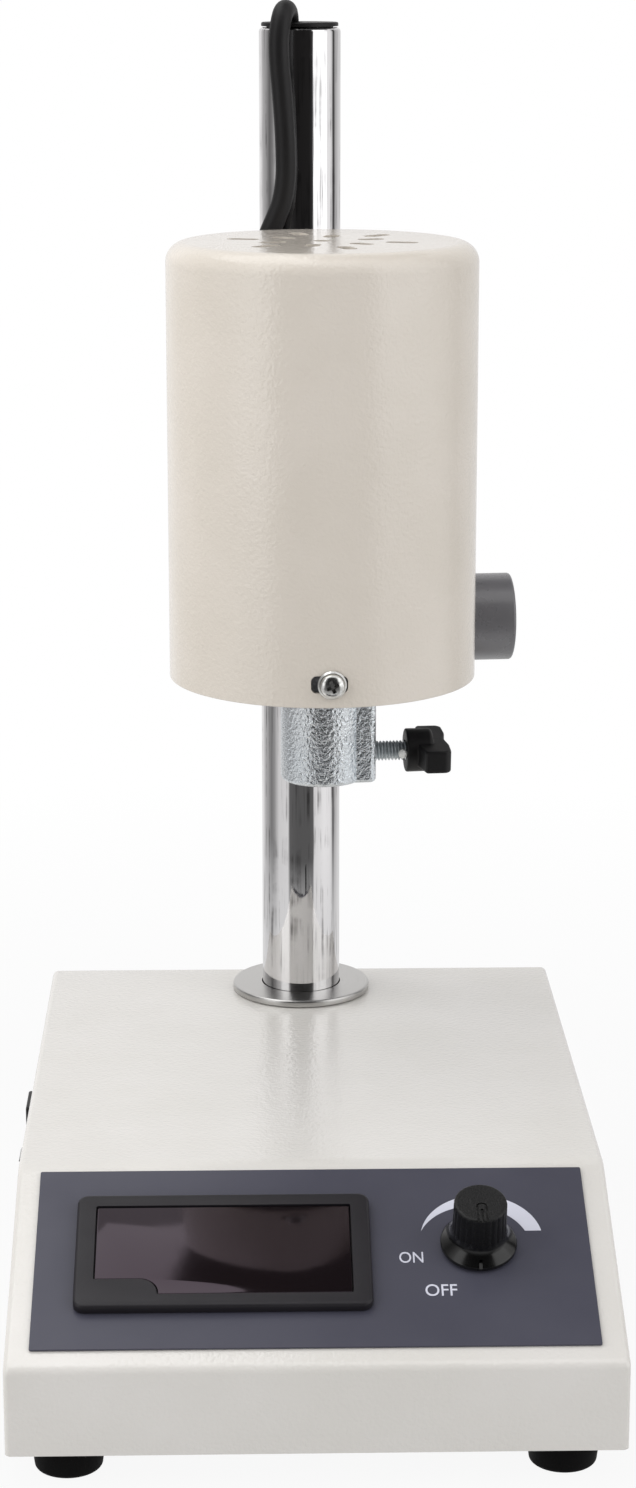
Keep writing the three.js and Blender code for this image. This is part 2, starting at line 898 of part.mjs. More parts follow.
// The window's outline: a rectangle with a rounded step out of its lower left corner.
function windowOutline(grow) {
  const x = windowWidth / 2 + grow;
  const y = windowHeight / 2 + grow;
  const stepX = -windowWidth / 2 + windowNotchWidth - grow;
  const stepY = -windowHeight / 2 + windowNotchHeight - grow;
  const turn = windowNotchHeight;
  const outline = new THREE.Shape();
  outline.moveTo(x, -y);
  outline.lineTo(x, y);
  outline.lineTo(-x, y);
  outline.lineTo(-x, stepY);
  outline.lineTo(stepX - turn, stepY);
  outline.absarc(stepX - turn, stepY - turn, turn, quarterTurn, 0, true);
  return outline;
}

function meterBezel() {
  const front = bezelBottom + bezelProud;
  const face = slab(roundedRectangle(bezelWidth, bezelHeight, bezelCorner), bezelBottom, front);
  const body = slab(
    roundedRectangle(caseWidth, caseHeight, caseWall),
    -caseDepth,
    bezelBottom + bezelProud / 2,
  );
  const windowSeat = slab(windowOutline(gap), front - windowThickness - gap, front + overrun);
  const sight = slab(
    roundedRectangle(
      windowWidth - 2 * windowNotchWidth,
      windowHeight - 2 * windowLedge - 2 * windowNotchHeight,
      caseWall,
    ),
    0,
    front,
    2,
  );
  const inside = slab(
    roundedRectangle(caseWidth - 2 * caseWall, caseHeight - 2 * caseWall, caseWall),
    -caseDepth - overrun,
    bezelBottom,
    2,
  );
  return cut(join(face, body), windowSeat, sight, inside);
}

function meterWindow() {
  const front = bezelBottom + bezelProud;
  return slab(windowOutline(0), front - windowThickness, front);
}

function meterBoard() {
  const board = slab(
    roundedRectangle(
      caseWidth - 2 * caseWall - 2 * gap,
      caseHeight - 2 * caseWall - 2 * gap,
      caseWall,
    ),
    -meterBoardDepth - meterBoardThickness,
    -meterBoardDepth,
    2,
  );
  const digits = block(
    windowWidth - 2 * digitMargin,
    windowHeight - 2 * digitSill,
    digitDepth,
    0,
    0,
    -meterBoardDepth - gap,
  );
  return join(board, digits);
}

function speedKnob() {
  const bottom = overlayTop + knobLift;
  const top = overlayTop + knobHeight;
  const crown = knobTopRadius - knobLift;
  const body = turned([
    [0, bottom],
    [knobSkirtRadius, bottom],
    [knobSkirtRadius, bottom + knobSkirtHeight],
    [knobNeckRadius, bottom + knobNeckHeight],
    [knobTopRadius, top - knobLift],
    [crown, top],
    [0, top],
  ]);
  const recess = rod(
    knobNeckRadius - knobWall,
    bottom - overrun,
    bottom + knobRecessDepth,
    smallSides,
  );
  const bore = rod(potShaftRadius + runningGap, bottom, bottom + knobBoreDepth, smallSides);
  return cut(body, recess, bore);
}

function potentiometerShaft() {
  const top = overlayTop + knobLift + knobBoreDepth - gap;
  return rod(potShaftRadius, -sheet - gap - potShaftReach, top, smallSides);
}

function potentiometer() {
  const seat = -sheet - gap;
  const body = rod(potBodyRadius, seat - potBodyDepth, seat, smallSides);
  const bush = rod(potBushRadius, seat - gap, overlayTop + gap + potNutThickness, smallSides);
  const hole = rod(
    potShaftRadius + runningGap,
    seat - potShaftReach - gap,
    overlayTop + overrun,
    smallSides,
  );
  return cut(join(body, bush), hole);
}

function potentiometerNut() {
  const hexagon = rod(
    (potBushRadius + potNutWall) / Math.cos(fullTurn / 12),
    overlayTop + gap,
    overlayTop + gap + potNutThickness,
    6,
  );
  return cut(hexagon, rod(potBushRadius + runningGap, -overrun, 2 * overrun, smallSides));
}

function switchHousing() {
  const flange = slab(
    roundedRectangle(
      switchBodyWidth + 2 * switchRim,
      switchBodyHeight + 2 * switchRim,
      switchRim,
    ),
    gap,
    gap + switchRimThickness,
    2,
  );
  const body = block(
    switchBodyWidth,
    switchBodyHeight,
    switchBodyDepth,
    0,
    0,
    2 * gap - switchBodyDepth,
  );
  const pocket = block(
    switchPocketWidth,
    switchPocketHeight,
    switchPocketDepth + overrun,
    0,
    0,
    -switchPocketDepth,
  );
  return cut(join(flange, body), pocket);
}

// The rocker's side view, before it is tilted: a shallow hollow face over a rounded back.
function switchRocker() {
  const half = switchPocketHeight / 2 - rockerClearance;
  const outline = new THREE.Shape();
  outline.moveTo(-half, rockerProud - rockerThickness + rockerPivotDepth);
  outline.lineTo(-half, rockerProud + rockerPivotDepth);
  outline.quadraticCurveTo(
    0,
    rockerProud - 2 * rockerDip + rockerPivotDepth,
    half,
    rockerProud + rockerPivotDepth,
  );
  outline.lineTo(half, rockerProud - rockerThickness + rockerPivotDepth);
  outline.quadraticCurveTo(
    0,
    -rockerThickness,
    -half,
    rockerProud - rockerThickness + rockerPivotDepth,
  );
  const width = switchPocketWidth - 2 * gap;
  return slab(outline, -width / 2, width / 2)
    .applyMatrix4(new THREE.Matrix4().set(0, 0, 1, 0, 1, 0, 0, 0, 0, 1, 0, 0, 0, 0, 0, 1))
    .rotateX(-rockerTilt)
    .translate(0, 0, gap + switchRimThickness - rockerPivotDepth - rockerDip);
}

function mainsInlet() {
  const rearFace = baseDepth + gap;
  const flangeOutline = new THREE.Shape();
  const ends = [-1, 1].map((side) => (side * inletFlangeWidth) / 2);
  const roots = [-1, 1].map((side) => (side * inletBodyWidth) / 2);
  const rim = inletFlangeHeight / 2;
  flangeOutline.moveTo(ends[0], -inletEarEnd / 2);
  flangeOutline.lineTo(roots[0], -rim);
  flangeOutline.lineTo(roots[1], -rim);
  flangeOutline.lineTo(ends[1], -inletEarEnd / 2);
  flangeOutline.lineTo(ends[1], inletEarEnd / 2);
  flangeOutline.lineTo(roots[1], rim);
  flangeOutline.lineTo(roots[0], rim);
  flangeOutline.lineTo(ends[0], inletEarEnd / 2);
  const flange = slab(flangeOutline, 0, inletFlangeThickness)
    .rotateX(-quarterTurn)
    .translate(inletX, rearFace, inletZ);
  const body = block(
    inletBodyWidth,
    inletBodyDepth,
    inletBodyHeight,
    inletX,
    rearFace + inletFlangeThickness / 2 - inletBodyDepth / 2,
    inletZ - inletBodyHeight / 2,
  );
  const mouth = rearFace + inletFlangeThickness;
  const socketOutline = new THREE.Shape();
  const x = inletSocketWidth / 2;
  const z = inletSocketHeight / 2;
  socketOutline.moveTo(-x, -z);
  socketOutline.lineTo(x, -z);
  socketOutline.lineTo(x, z - inletSocketCorner);
  socketOutline.lineTo(x - inletSocketCorner, z);
  socketOutline.lineTo(-x + inletSocketCorner, z);
  socketOutline.lineTo(-x, z - inletSocketCorner);
  const socket = slab(socketOutline, -inletSocketDepth, overrun)
    .rotateX(-quarterTurn)
    .rotateY(2 * quarterTurn)
    .translate(inletX, mouth, inletZ);
  const pins = [-1, 0, 1].map((side) =>
    block(
      inletPinWidth,
      inletPinLength + gap,
      inletPinHeight,
      inletX + side * inletPinSpacing,
      mouth - inletSocketDepth + inletPinLength / 2,
      inletZ - inletPinHeight / 2 + (side === 0 ? inletPinRise : -inletPinRise / 2),
    ),
  );
  return join(cut(join(flange, body), socket), ...pins);
}

function boardCorners() {
  const x = boardWidth / 2 - standOffInset;
  const y = boardDepth / 2 - standOffInset;
  return [
    { x: boardX - x, y: boardY - y },
    { x: boardX + x, y: boardY - y },
    { x: boardX - x, y: boardY + y },
    { x: boardX + x, y: boardY + y },
  ];
}

function controlBoard() {
  const bottom = plateTop + boardStandOff + gap;
  const top = bottom + boardThickness;
  const board = block(boardWidth, boardDepth, boardThickness, boardX, boardY, bottom);
  const sunk = boardThickness / 2;
  const relay = block(
    relayWidth,
    relayDepth,
    relayHeight + sunk,
    boardX - boardWidth / 4,
    boardY - relayDepth / 2,
    top - sunk,
  );
  const capacitors = [-1, 1].map((side) =>
    rod(capacitorRadius, top - sunk, top + capacitorHeight, smallSides).translate(
      capacitorX(),
      boardY + side * (capacitorRadius + standOffRadius),
      0,
    ),
  );
  return join(board, relay, ...capacitors);
}

function capacitorX() {
  return boardX + boardWidth / 2 - standOffInset - capacitorRadius;
}

function heatSink() {
  const x = capacitorX() - capacitorRadius - standOffRadius - sinkWidth / 2;
  const bottom = plateTop + boardStandOff + 2 * gap + boardThickness;
  const y = boardY + boardDepth / 2 - sinkDepth / 2 - standOffInset - standOffRadius;
  const web = block(sinkWidth, sinkWeb, sinkHeight, x, y - sinkDepth / 2 + sinkWeb / 2, bottom);
  const pitch = (sinkWidth - sinkFinThickness) / (sinkFins - 1);
  const fins = Array.from({ length: sinkFins }, (_, i) =>
    block(
      sinkFinThickness,
      sinkDepth,
      sinkHeight,
      x - sinkWidth / 2 + sinkFinThickness / 2 + i * pitch,
      y,
      bottom,
    ),
  );
  return join(web, ...fins);
}

function transformer() {
  const bottom = plateTop + gap;
  const core = block(
    transformerWidth,
    transformerDepth,
    transformerHeight,
    transformerX,
    transformerY,
    bottom,
  );
  const coil = block(
    transformerWidth - 2 * transformerCoilInset,
    transformerDepth + 2 * transformerCoilBulge,
    transformerHeight - 2 * transformerCoilBulge,
    transformerX,
    transformerY,
    bottom + transformerCoilBulge,
  );
  return join(core, coil);
}

function columnTube() {
  const bottom = deckUnderside - gap - columnNutThickness - columnFootDrop;
  return turned(
    [
      [columnBore, bottom],
      [columnRadius, bottom],
      [columnRadius, columnTop - columnChamfer],
      [columnRadius - columnChamfer, columnTop],
      [columnBore, columnTop],
      [columnBore, bottom],
    ],
    roundSides,
  );
}

function columnFlange() {
  const bottom = deckHeight + gap;
  const edge = flangeThickness / 3;
  return turned(
    [
      [columnRadius + gap, bottom],
      [flangeRadius, bottom],
      [flangeRadius, bottom + flangeThickness - edge],
      [flangeRadius - edge, bottom + flangeThickness],
      [columnRadius + gap, bottom + flangeThickness],
      [columnRadius + gap, bottom],
    ],
    roundSides,
  );
}

function columnNut() {
  const top = deckUnderside - gap;
  return cut(
    rod(columnNutRadius, top - columnNutThickness, top, 6),
    rod(columnRadius + gap, top - columnNutThickness - overrun, top + overrun),
  );
}

function columnCap() {
  const bottom = columnTop + gap;
  const disc = turned(
    [
      [0, bottom],
      [capRadius, bottom],
      [capRadius, bottom + capThickness * 0.75],
      [capRadius - capThickness * 0.25, bottom + capThickness],
      [0, bottom + capThickness],
    ],
    roundSides,
  );
  const plug = rod(columnBore - gap, bottom - capPlugDepth, bottom + gap);
  const cableWay = slab(roundSlot(capSlotLength, capSlotWidth), -overrun, capPlugDepth + overrun)
    .rotateZ(quarterTurn)
    .translate(capSlotX, capSlotY, bottom - capPlugDepth);
  return cut(join(disc, plug), cableWay);
}

function motorCable() {
  const route = new THREE.CatmullRomCurve3(
    cableRoute.map(([x, forward, share]) => {
      const z = cableBottom + (columnTop - cableBottom) * share;
      return new THREE.Vector3(x, columnY - columnRadius - forward, z);
    }),
    false,
    "centripetal",
  );
  const section = new THREE.Shape();
  section.absarc(0, 0, cableRadius, 0, fullTurn);
  return new THREE.ExtrudeGeometry(section, {
    steps: cableSteps,
    curveSegments: cableSides,
    extrudePath: route,
  });
}

function motorHousing() {
  const inner = housingRadius - housingWall;
  const innerFillet = housingFillet - housingWall;
  const innerTop = housingTop - housingRoof;
  const can = turned(
    [
      [0, innerTop],
      ...roundPoints(
        inner - innerFillet,
        innerTop - innerFillet,
        innerFillet,
        quarterTurn,
        0,
      ),
      [inner, housingBottom],
      [housingRadius, housingBottom],
      ...roundPoints(
        housingRadius - housingFillet,
        housingTop - housingFillet,
        housingFillet,
        0,
        quarterTurn,
        filletSteps + 1,
      ),
      [0, housingTop],
    ],
    roundSides,
  );
  const ventBottom = innerTop - overrun;
  const ventTop = housingTop + overrun;
  const ring = (distance, length, turn) =>
    Array.from({ length: ventsPerRing }, (_, i) =>
      slab(roundSlot(length, ventWidth), ventBottom, ventTop, 3)
        .translate(distance, 0, 0)
        .rotateZ(turn + (i * fullTurn) / ventsPerRing),
    );
  const screwSlots = lowerScrewAngles().map((angle) =>
    outwards(
      slab(roundSlot(slotLength, slotWidth), inner - overrun, housingRadius + overrun, 3),
      angle,
      slotHeight,
    ),
  );
  const upperHoles = upperScrewAngles().map((angle) =>
    outwards(
      rod(upperScrewRadius + gap, inner - overrun, housingRadius + overrun, tinySides),
      angle,
      upperScrewHeight,
    ),
  );
  const armNotch = block(
    armWidth + 2 * gap,
    housingRadius,
    endPlateTop + gap - housingBottom + overrun,
    0,
    housingRadius / 2 + socketRadius,
    housingBottom - overrun,
  );
  return cut(
    can,
    rod(centreVentRadius, ventBottom, ventTop, smallSides),
    ...ring(innerVentRing, innerVentLength, innerVentTurn),
    ...ring(outerVentRing, outerVentLength, outerVentTurn),
    ...screwSlots,
    ...upperHoles,
    armNotch,
  );
}

function lowerScrewAngles() {
  return Array.from(
    { length: lowerScrewCount },
    (_, i) => housingTurn + (i * fullTurn) / lowerScrewCount,
  );
}

function upperScrewAngles() {
  return [housingTurn - upperScrewAngle, housingTurn + upperScrewAngle];
}

// A pan-head screw with its captive washer and a cross recess, pointing outwards.
function lowerScrew(angle) {
  const seat = housingRadius + gap;
  const headTop = seat + washerThickness + screwHeadHeight;
  const edge = screwHeadHeight / 3;
  const body = turned(
    [
      [0, housingRadius - lowerScrewLength],
      [lowerScrewRadius, housingRadius - lowerScrewLength],
      [lowerScrewRadius, seat],
      [washerRadius, seat],
      [washerRadius, seat + washerThickness],
      [screwHeadRadius, seat + washerThickness],
      [screwHeadRadius, headTop - edge],
      [screwHeadRadius - edge, headTop],
      [0, headTop],
    ],
    smallSides,
  );
  const cross = [0, quarterTurn].map((turn) =>
    block(crossLength, crossWidth, crossDepth + overrun, 0, 0, headTop - crossDepth).rotateZ(turn),
  );
  return outwards(cut(body, ...cross), angle, slotHeight);
}

function upperScrew(angle) {
  const seat = housingRadius + gap;
  const edge = upperHeadHeight / 3;
  const body = turned(
    [
      [0, housingRadius - upperScrewLength],
      [upperScrewRadius, housingRadius - upperScrewLength],
      [upperScrewRadius, seat],
      [upperHeadRadius, seat],
      [upperHeadRadius, seat + upperHeadHeight - edge],
      [upperHeadRadius - edge, seat + upperHeadHeight],
      [0, seat + upperHeadHeight],
    ],
    tinySides,
  );
  return outwards(body, angle, upperScrewHeight);
}

// Where the gland stands, in the head's frame: under the cable's lower end.
const [glandX, glandForward] = cableRoute[cableRoute.length - 1];
const glandPlace = new THREE.Vector2(glandX, -columnRadius - glandForward).rotateAround(
  new THREE.Vector2(),
  -headSwing,
);

function headBracket() {
  const top = endPlateTop;
  const plate = rod(endPlateRadius, endPlateBottom, top, roundSides).translate(0, -armLength, 0);
  const collar = rod(collarRadius, collarBottom, collarTop);
  const clampBoss = alongX(rod(clampBossRadius, 0, clampBossReach, smallSides)).translate(
    0,
    0,
    clampHeight,
  );
  const shelfBottom = collarTop - glandShelfThickness;
  const shelf = rod(glandShelfRadius, shelfBottom, collarTop, smallSides).translate(
    glandPlace.x,
    glandPlace.y,
    0,
  );
  const shelfWeb = block(
    -glandPlace.x,
    2 * glandShelfRadius,
    glandShelfThickness,
    glandPlace.x / 2,
    glandPlace.y,
    shelfBottom,
  );
  const housingClearance = rod(
    housingRadius + 2 * gap,
    housingBottom - gap,
    collarTop + overrun,
    roundSides,
  ).translate(0, -armLength, 0);
  const behind = cut(join(collar, clampBoss, shelf, shelfWeb), housingClearance);
  const arm = block(
    armWidth,
    armLength - socketRadius,
    endPlateThickness,
    0,
    -(armLength - socketRadius) / 2 - socketRadius / 2,
    endPlateBottom,
  );
  const collarBore = rod(columnRadius + gap, collarBottom - overrun, collarTop + overrun);
  const clampBore = alongX(rod(clampBoreRadius, 0, clampBossReach + overrun, smallSides)).translate(
    0,
    0,
    clampHeight,
  );
  const glandHole = rod(
    glandThreadRadius + runningGap,
    shelfBottom - overrun,
    collarTop + overrun,
    smallSides,
  ).translate(glandPlace.x, glandPlace.y, 0);
  const bearingSeat = join(
    rod(bearingRadius + runningGap, endPlateBottom + bearingShoulder, top + overrun),
    rod(shaftHole + runningGap, endPlateBottom - overrun, top),
  ).translate(0, -armLength, 0);
  const exhausts = Array.from({ length: exhaustCount }, (_, i) =>
    slab(roundSlot(exhaustLength, exhaustWidth), endPlateBottom - overrun, top + overrun, 3)
      .translate(exhaustRing, 0, 0)
      .rotateZ(Math.PI / exhaustCount + (i * fullTurn) / exhaustCount)
      .translate(0, -armLength, 0),
  );
  const screwHoles = lowerScrewAngles().map((angle, i) =>
    outwards(
      rod(
        lowerScrewRadius + gap,
        housingRadius - lowerScrewLength - gap,
        housingRadius + overrun,
        tinySides,
      ),
      angle + (i === 0 ? slotScrewOffset : 0),
      slotHeight,
    ).translate(0, -armLength, 0),
  );
  return cut(
    join(plate, behind, arm),
    collarBore,
    clampBore,
    glandHole,
    bearingSeat,
    ...exhausts,
    ...screwHoles,
  );
}

// The socket in plan: a round boss with a squared lug on its right.
function toolSocket() {
  const top = socketTop;
  const barrel = turned([
    [0, socketBottom],
    ...roundPoints(
      socketRadius - socketEdge,
      socketBottom + socketEdge,
      socketEdge,
      -quarterTurn,
      0,
    ),
    [socketRadius, top],
    [0, top],
  ]);
  const lugOutline = roundedRectangle(2 * lugReach, 2 * lugHalfWidth, lugCorner);
  const lug = slab(lugOutline, socketBottom + socketEdge / 2, top, 3);
  const leftHalf = block(
    2 * lugReach,
    4 * lugHalfWidth,
    top - socketBottom + 2 * overrun,
    -lugReach,
    0,
    socketBottom - overrun,
  );
  const bore = rod(socketBore, socketBottom - overrun, top - socketNeckHeight);
  const neck = rod(socketNeckBore, socketBottom, top + overrun);
  const screwBore = alongX(rod(wingStudRadius + gap, 0, lugReach + overrun, smallSides)).translate(
    0,
    0,
    wingHeight,
  );
  return cut(join(barrel, cut(lug, leftHalf)), bore, neck, screwBore);
}

function cableGland() {
  const seat = glandSeat;
  const top = seat + glandHeight;
  const hex = rod(glandRadius, seat, top - glandNoseHeight, 6);
  const nose = turned(
    [
      [0, top - glandNoseHeight - gap],
      [glandRadius - gap, top - glandNoseHeight - gap],
      [glandNoseRadius, top],
      [0, top],
    ],
    smallSides,
  );
  const thread = rod(glandThreadRadius, seat - glandThreadLength, seat + gap, smallSides);
  const way = rod(cableRadius + gap, top - glandSeatDepth, top + overrun, smallSides);
  return cut(join(hex, nose, thread), way);
}

function clampPad() {
  const start = columnRadius + gap;
  return alongX(rod(clampPadRadius, start, start + clampPadLength, smallSides));
}

function clampStud() {
  const start = columnRadius + gap + clampPadLength + gap;
  return alongX(rod(clampStudRadius, start, clampKnobStart + clampStudSeat, smallSides));
}

function clampKnob() {
  const bodyStart = clampKnobStart + clampKnobNeckLength;
  const body = turned(
    [
      [0, clampKnobStart],
      [clampKnobNeckRadius, clampKnobStart],
      [clampKnobNeckRadius, bodyStart],
      ...roundPoints(
        clampKnobRadius - clampKnobEdge,
        bodyStart + clampKnobEdge,
        clampKnobEdge,
        -quarterTurn,
        0,
      ),
      ...roundPoints(
        clampKnobRadius - clampKnobEdge,
        clampKnobEnd - clampKnobEdge,
        clampKnobEdge,
        0,
        quarterTurn,
      ),
      [0, clampKnobEnd],
    ],
    middleSides,
  );
  const bore = rod(
    clampStudRadius + runningGap,
    clampKnobStart - overrun,
    clampKnobStart + clampStudSeat + gap,
    smallSides,
  );
  return alongX(cut(body, bore));
}

function wingTip() {
  return alongX(rod(wingTipRadius, wingTipStart, wingTipStart + wingTipLength, tinySides));
}

function wingStud() {
  const start = wingTipStart + wingTipLength + gap;
  return alongX(rod(wingStudRadius, start, wingHubStart + wingStudSeat, smallSides));
}

// A short hub with two flared wings in one plane, which is tilted about the screw's axis.
function wingKnob() {
  const end = wingHubStart + wingLength;
  const hub = rod(wingHubRadius, wingHubStart, wingHubStart + wingHubLength, smallSides);
  const half = wingSpan / 2;
  const root = wingHubStart + wingFlare;
  const tip = root + wingFlare;
  const outline = new THREE.Shape();
  outline.moveTo(0, root);
  outline.lineTo(wingHubRadius, root);
  outline.lineTo(half, tip);
  outline.lineTo(half, end - wingRound);
  outline.absarc(half - wingRound, end - wingRound, wingRound, 0, quarterTurn);
  outline.lineTo(wingFlare, end);
  outline.lineTo(0, end - wingFlare / 2);
  outline.lineTo(-wingFlare, end);
  outline.absarc(-half + wingRound, end - wingRound, wingRound, quarterTurn, 2 * quarterTurn);
  outline.lineTo(-half, tip);
  outline.lineTo(-wingHubRadius, root);
  const wings = slab(outline, -wingThickness / 2, wingThickness / 2, 4).rotateX(quarterTurn);
  const bore = rod(
    wingStudRadius + runningGap,
    wingHubStart - overrun,
    wingHubStart + wingStudSeat + gap,
    smallSides,
  );
  return alongX(cut(join(hub, wings), bore).rotateZ(quarterTurn + wingTilt));
}

function ballBearing(bottom) {
  return tube(bearingRadius, shaftBore, bottom, bottom + bearingWidth, middleSides);
}

function pillarPlaces() {
  const distance = (statorRadius + statorBore) / 2;
  return Array.from({ length: pillarCount }, (_, i) => {
    const angle = Math.PI / pillarCount + (i * fullTurn) / pillarCount;
    return { x: distance * Math.cos(angle), y: distance * Math.sin(angle) };
  });
}

function pillars(bottom, top) {
  return pillarPlaces().map(({ x, y }) =>
    rod(pillarRadius, bottom, top, tinySides).translate(x, y, 0),
  );
}

function motorLowerFrame() {
  const ring = tube(
    statorRadius,
    statorBore,
    lowerFrameBottom,
    lowerFrameBottom + lowerFrameThickness,
    middleSides,
  );
  return join(ring, ...pillars(lowerFrameBottom, armatureBottom - gap));
}

function motorUpperFrame() {
  const outer = housingRadius - housingWall - gap;
  const rim = tube(outer, outer - rimWidth, upperFrameBottom, upperFrameTop, middleSides);
  const hubRadius = bearingRadius + hubWall;
  const hub = rod(hubRadius, spokeBottom, upperBearingBottom + bearingWidth, middleSides);
  const spokes = [0, quarterTurn].map((turn) =>
    block(2 * outer - rimWidth, spokeWidth, spokeThickness, 0, 0, spokeBottom).rotateZ(turn),
  );
  const seat = join(
    rod(bearingRadius + runningGap, spokeBottom + hubFloor, shaftTop + overrun, middleSides),
    rod(shaftHole, spokeBottom - overrun, shaftTop, smallSides),
  );
  const screwHoles = upperScrewAngles().map((angle) =>
    outwards(
      rod(
        upperScrewRadius + gap,
        housingRadius - upperScrewLength - gap,
        housingRadius,
        tinySides,
      ),
      angle,
      upperScrewHeight,
    ),
  );
  const legs = pillars(armatureTop + gap, upperFrameBottom + gap);
  return cut(join(rim, hub, ...spokes, ...legs), seat, ...screwHoles);
}

// A laminated yoke with two poles that face the armature from the front and the rear.
function statorCore() {
  const face = armatureRadius + airGap;
  const yoke = tube(statorRadius, statorBore, armatureBottom, armatureTop, middleSides);
  const poles = block(
    2 * poleHalfWidth,
    2 * statorBore + yokeThickness,
    armatureLength,
    0,
    0,
    armatureBottom,
  );
  const shoes = cut(
    rod(face + shoeThickness, armatureBottom, armatureTop, middleSides),
    ...[-1, 1].map((side) =>
      block(
        2 * face,
        4 * face,
        armatureLength + 2 * overrun,
        side * (shoeHalfWidth + face),
        0,
        armatureBottom - overrun,
      ),
    ),
  );
  const tunnel = rod(face, armatureBottom - overrun, armatureTop + overrun, middleSides);
  return cut(join(yoke, poles, shoes), tunnel);
}

// A winding round one pole, a closed rectangular ring.
function fieldCoil(side) {
  const innerWidth = 2 * (poleHalfWidth + gap);
  const innerHeight = armatureLength + 2 * gap;
  const coilDepth = coilOutside - coilInside;
  const y = (side * (coilInside + coilOutside)) / 2;
  const bottom = armatureBottom - gap;
  const ring = block(
    2 * coilHalfWidth,
    coilDepth,
    innerHeight + 2 * coilOverhang,
    0,
    y,
    bottom - coilOverhang,
  );
  return cut(ring, block(innerWidth, coilDepth + overrun, innerHeight, 0, y, bottom));
}

function motorShaft() {
  return rod(shaftRadius, shaftBottom, shaftTop, smallSides);
}

function onShaft(body, bottom, top) {
  return cut(body, rod(shaftBore, bottom, top, smallSides));
}

function driveCoupling() {
  const body = onShaft(
    rod(couplingRadius, couplingBottom, couplingTop, smallSides),
    shaftBottom - gap,
    couplingTop + overrun,
  );
  const drive = block(
    2 * couplingRadius + overrun,
    couplingDriveWidth,
    couplingDriveDepth + overrun,
    0,
    0,
    couplingBottom - overrun,
  );
  return cut(body, drive);
}

function coolingFan() {
  const disc = rod(fanRadius, fanBottom, fanBottom + fanDisc);
  const hub = rod(fanHubRadius, fanBottom, fanTop, smallSides);
  const bladeLength = fanRadius - fanHubRadius;
  const blades = Array.from({ length: fanBlades }, (_, i) =>
    block(
      bladeLength,
      fanBladeThickness,
      fanTop - fanBottom - gap,
      fanHubRadius + bladeLength / 2 - gap,
      0,
      fanBottom + gap,
    ).rotateZ((i * fullTurn) / fanBlades),
  );
  return onShaft(join(disc, hub, ...blades), fanBottom - overrun, fanTop + overrun);
}

function armature() {
  const body = turned([
    [0, armatureBottom - windingOverhang],
    [windingEndRadius, armatureBottom - windingOverhang],
    [windingRadius, armatureBottom],
    [armatureRadius, armatureBottom],
    [armatureRadius, armatureTop],
    [windingRadius, armatureTop],
    [windingEndRadius, armatureTop + windingOverhang],
    [0, armatureTop + windingOverhang],
  ]);
  return onShaft(
    body,
    armatureBottom - windingOverhang - overrun,
    armatureTop + windingOverhang + overrun,
  );
}

function commutator() {
  return tube(commutatorRadius, shaftBore, commutatorBottom, commutatorTop, smallSides);
}

function brushHolder(side) {
  const width = brushWidth + 2 * holderWall;
  const height = brushThickness + 2 * holderWall;
  const middle = (holderStart + holderEnd) / 2;
  const box = block(
    holderEnd - holderStart,
    width,
    height,
    side * middle,
    0,
    brushHeight - height / 2,
  );
  const way = block(
    holderEnd - holderStart + overrun,
    brushWidth + 2 * runningGap,
    brushThickness + 2 * runningGap,
    side * middle,
    0,
    brushHeight - brushThickness / 2 - runningGap,
  );
  return cut(box, way);
}

function carbonBrush(side) {
  const start = commutatorRadius + gap;
  return block(
    brushLength,
    brushWidth,
    brushThickness,
    side * (start + brushLength / 2),
    0,
    brushHeight - brushThickness / 2,
  );
}

// Base
piece("base_cover", baseCover(), cream, homogenizer);
piece("base_plate", basePlate(), zinc, homogenizer);
for (const { name, x, y } of feet()) {
  piece("foot_" + name, foot(), rubber, homogenizer).position.set(x, y, 0);
  piece("foot_screw_" + name, footScrew(), steel, homogenizer).position.set(x, y, 0);
}

// Control panel
piece("control_panel", controlPanel(), slate, panelFrame);
piece("meter_bezel", meterBezel(), blackPlastic, meterFrame);
piece("meter_window", meterWindow(), smokedGlass, meterFrame);
piece("meter_board", meterBoard(), boardGreen, meterFrame);
piece("speed_knob", speedKnob(), blackPlastic, knobFrame);
piece("potentiometer_shaft", potentiometerShaft(), aluminium, knobFrame);
piece("potentiometer", potentiometer(), aluminium, knobFrame);
piece("potentiometer_nut", potentiometerNut(), steel, knobFrame);

// Electrical parts of the base
piece("switch_housing", switchHousing(), blackPlastic, switchFrame);
piece("switch_rocker", switchRocker(), blackPlastic, switchFrame);
piece("mains_inlet", mainsInlet(), blackPlastic, homogenizer);
piece("control_board", controlBoard(), boardGreen, homogenizer);
piece("heat_sink", heatSink(), aluminium, homogenizer);
piece("transformer", transformer(), iron, homogenizer);

// Column
piece("column_tube", columnTube(), chrome, columnFrame);
piece("column_flange", columnFlange(), steel, columnFrame);
piece("column_nut", columnNut(), steel, columnFrame);
piece("column_cap", columnCap(), blackPlastic, columnFrame);

// Head: casting, housing and its screws
piece("head_bracket", headBracket(), zinc, headFrame);
piece("tool_socket", toolSocket(), zinc, motorFrame);
piece("motor_housing", motorHousing(), cream, motorFrame);
["front", "right", "left"].forEach((place, i) => {
  const angle = lowerScrewAngles()[i] + (i === 0 ? slotScrewOffset : 0);
  piece("housing_screw_" + place, lowerScrew(angle), steel, motorFrame);
});
["left", "right"].forEach((place, i) => {
  piece("upper_screw_" + place, upperScrew(upperScrewAngles()[i]), steel, motorFrame);
});
piece("cable_gland", cableGland(), blackPlastic, headFrame).position.set(
  glandPlace.x,
  glandPlace.y,
  0,
);

// Column clamp
piece("clamp_pad", clampPad(), brass, headFrame).position.z = clampHeight;
piece("clamp_stud", clampStud(), steel, headFrame).position.z = clampHeight;
piece("clamp_knob", clampKnob(), greyPlastic, headFrame).position.z = clampHeight;

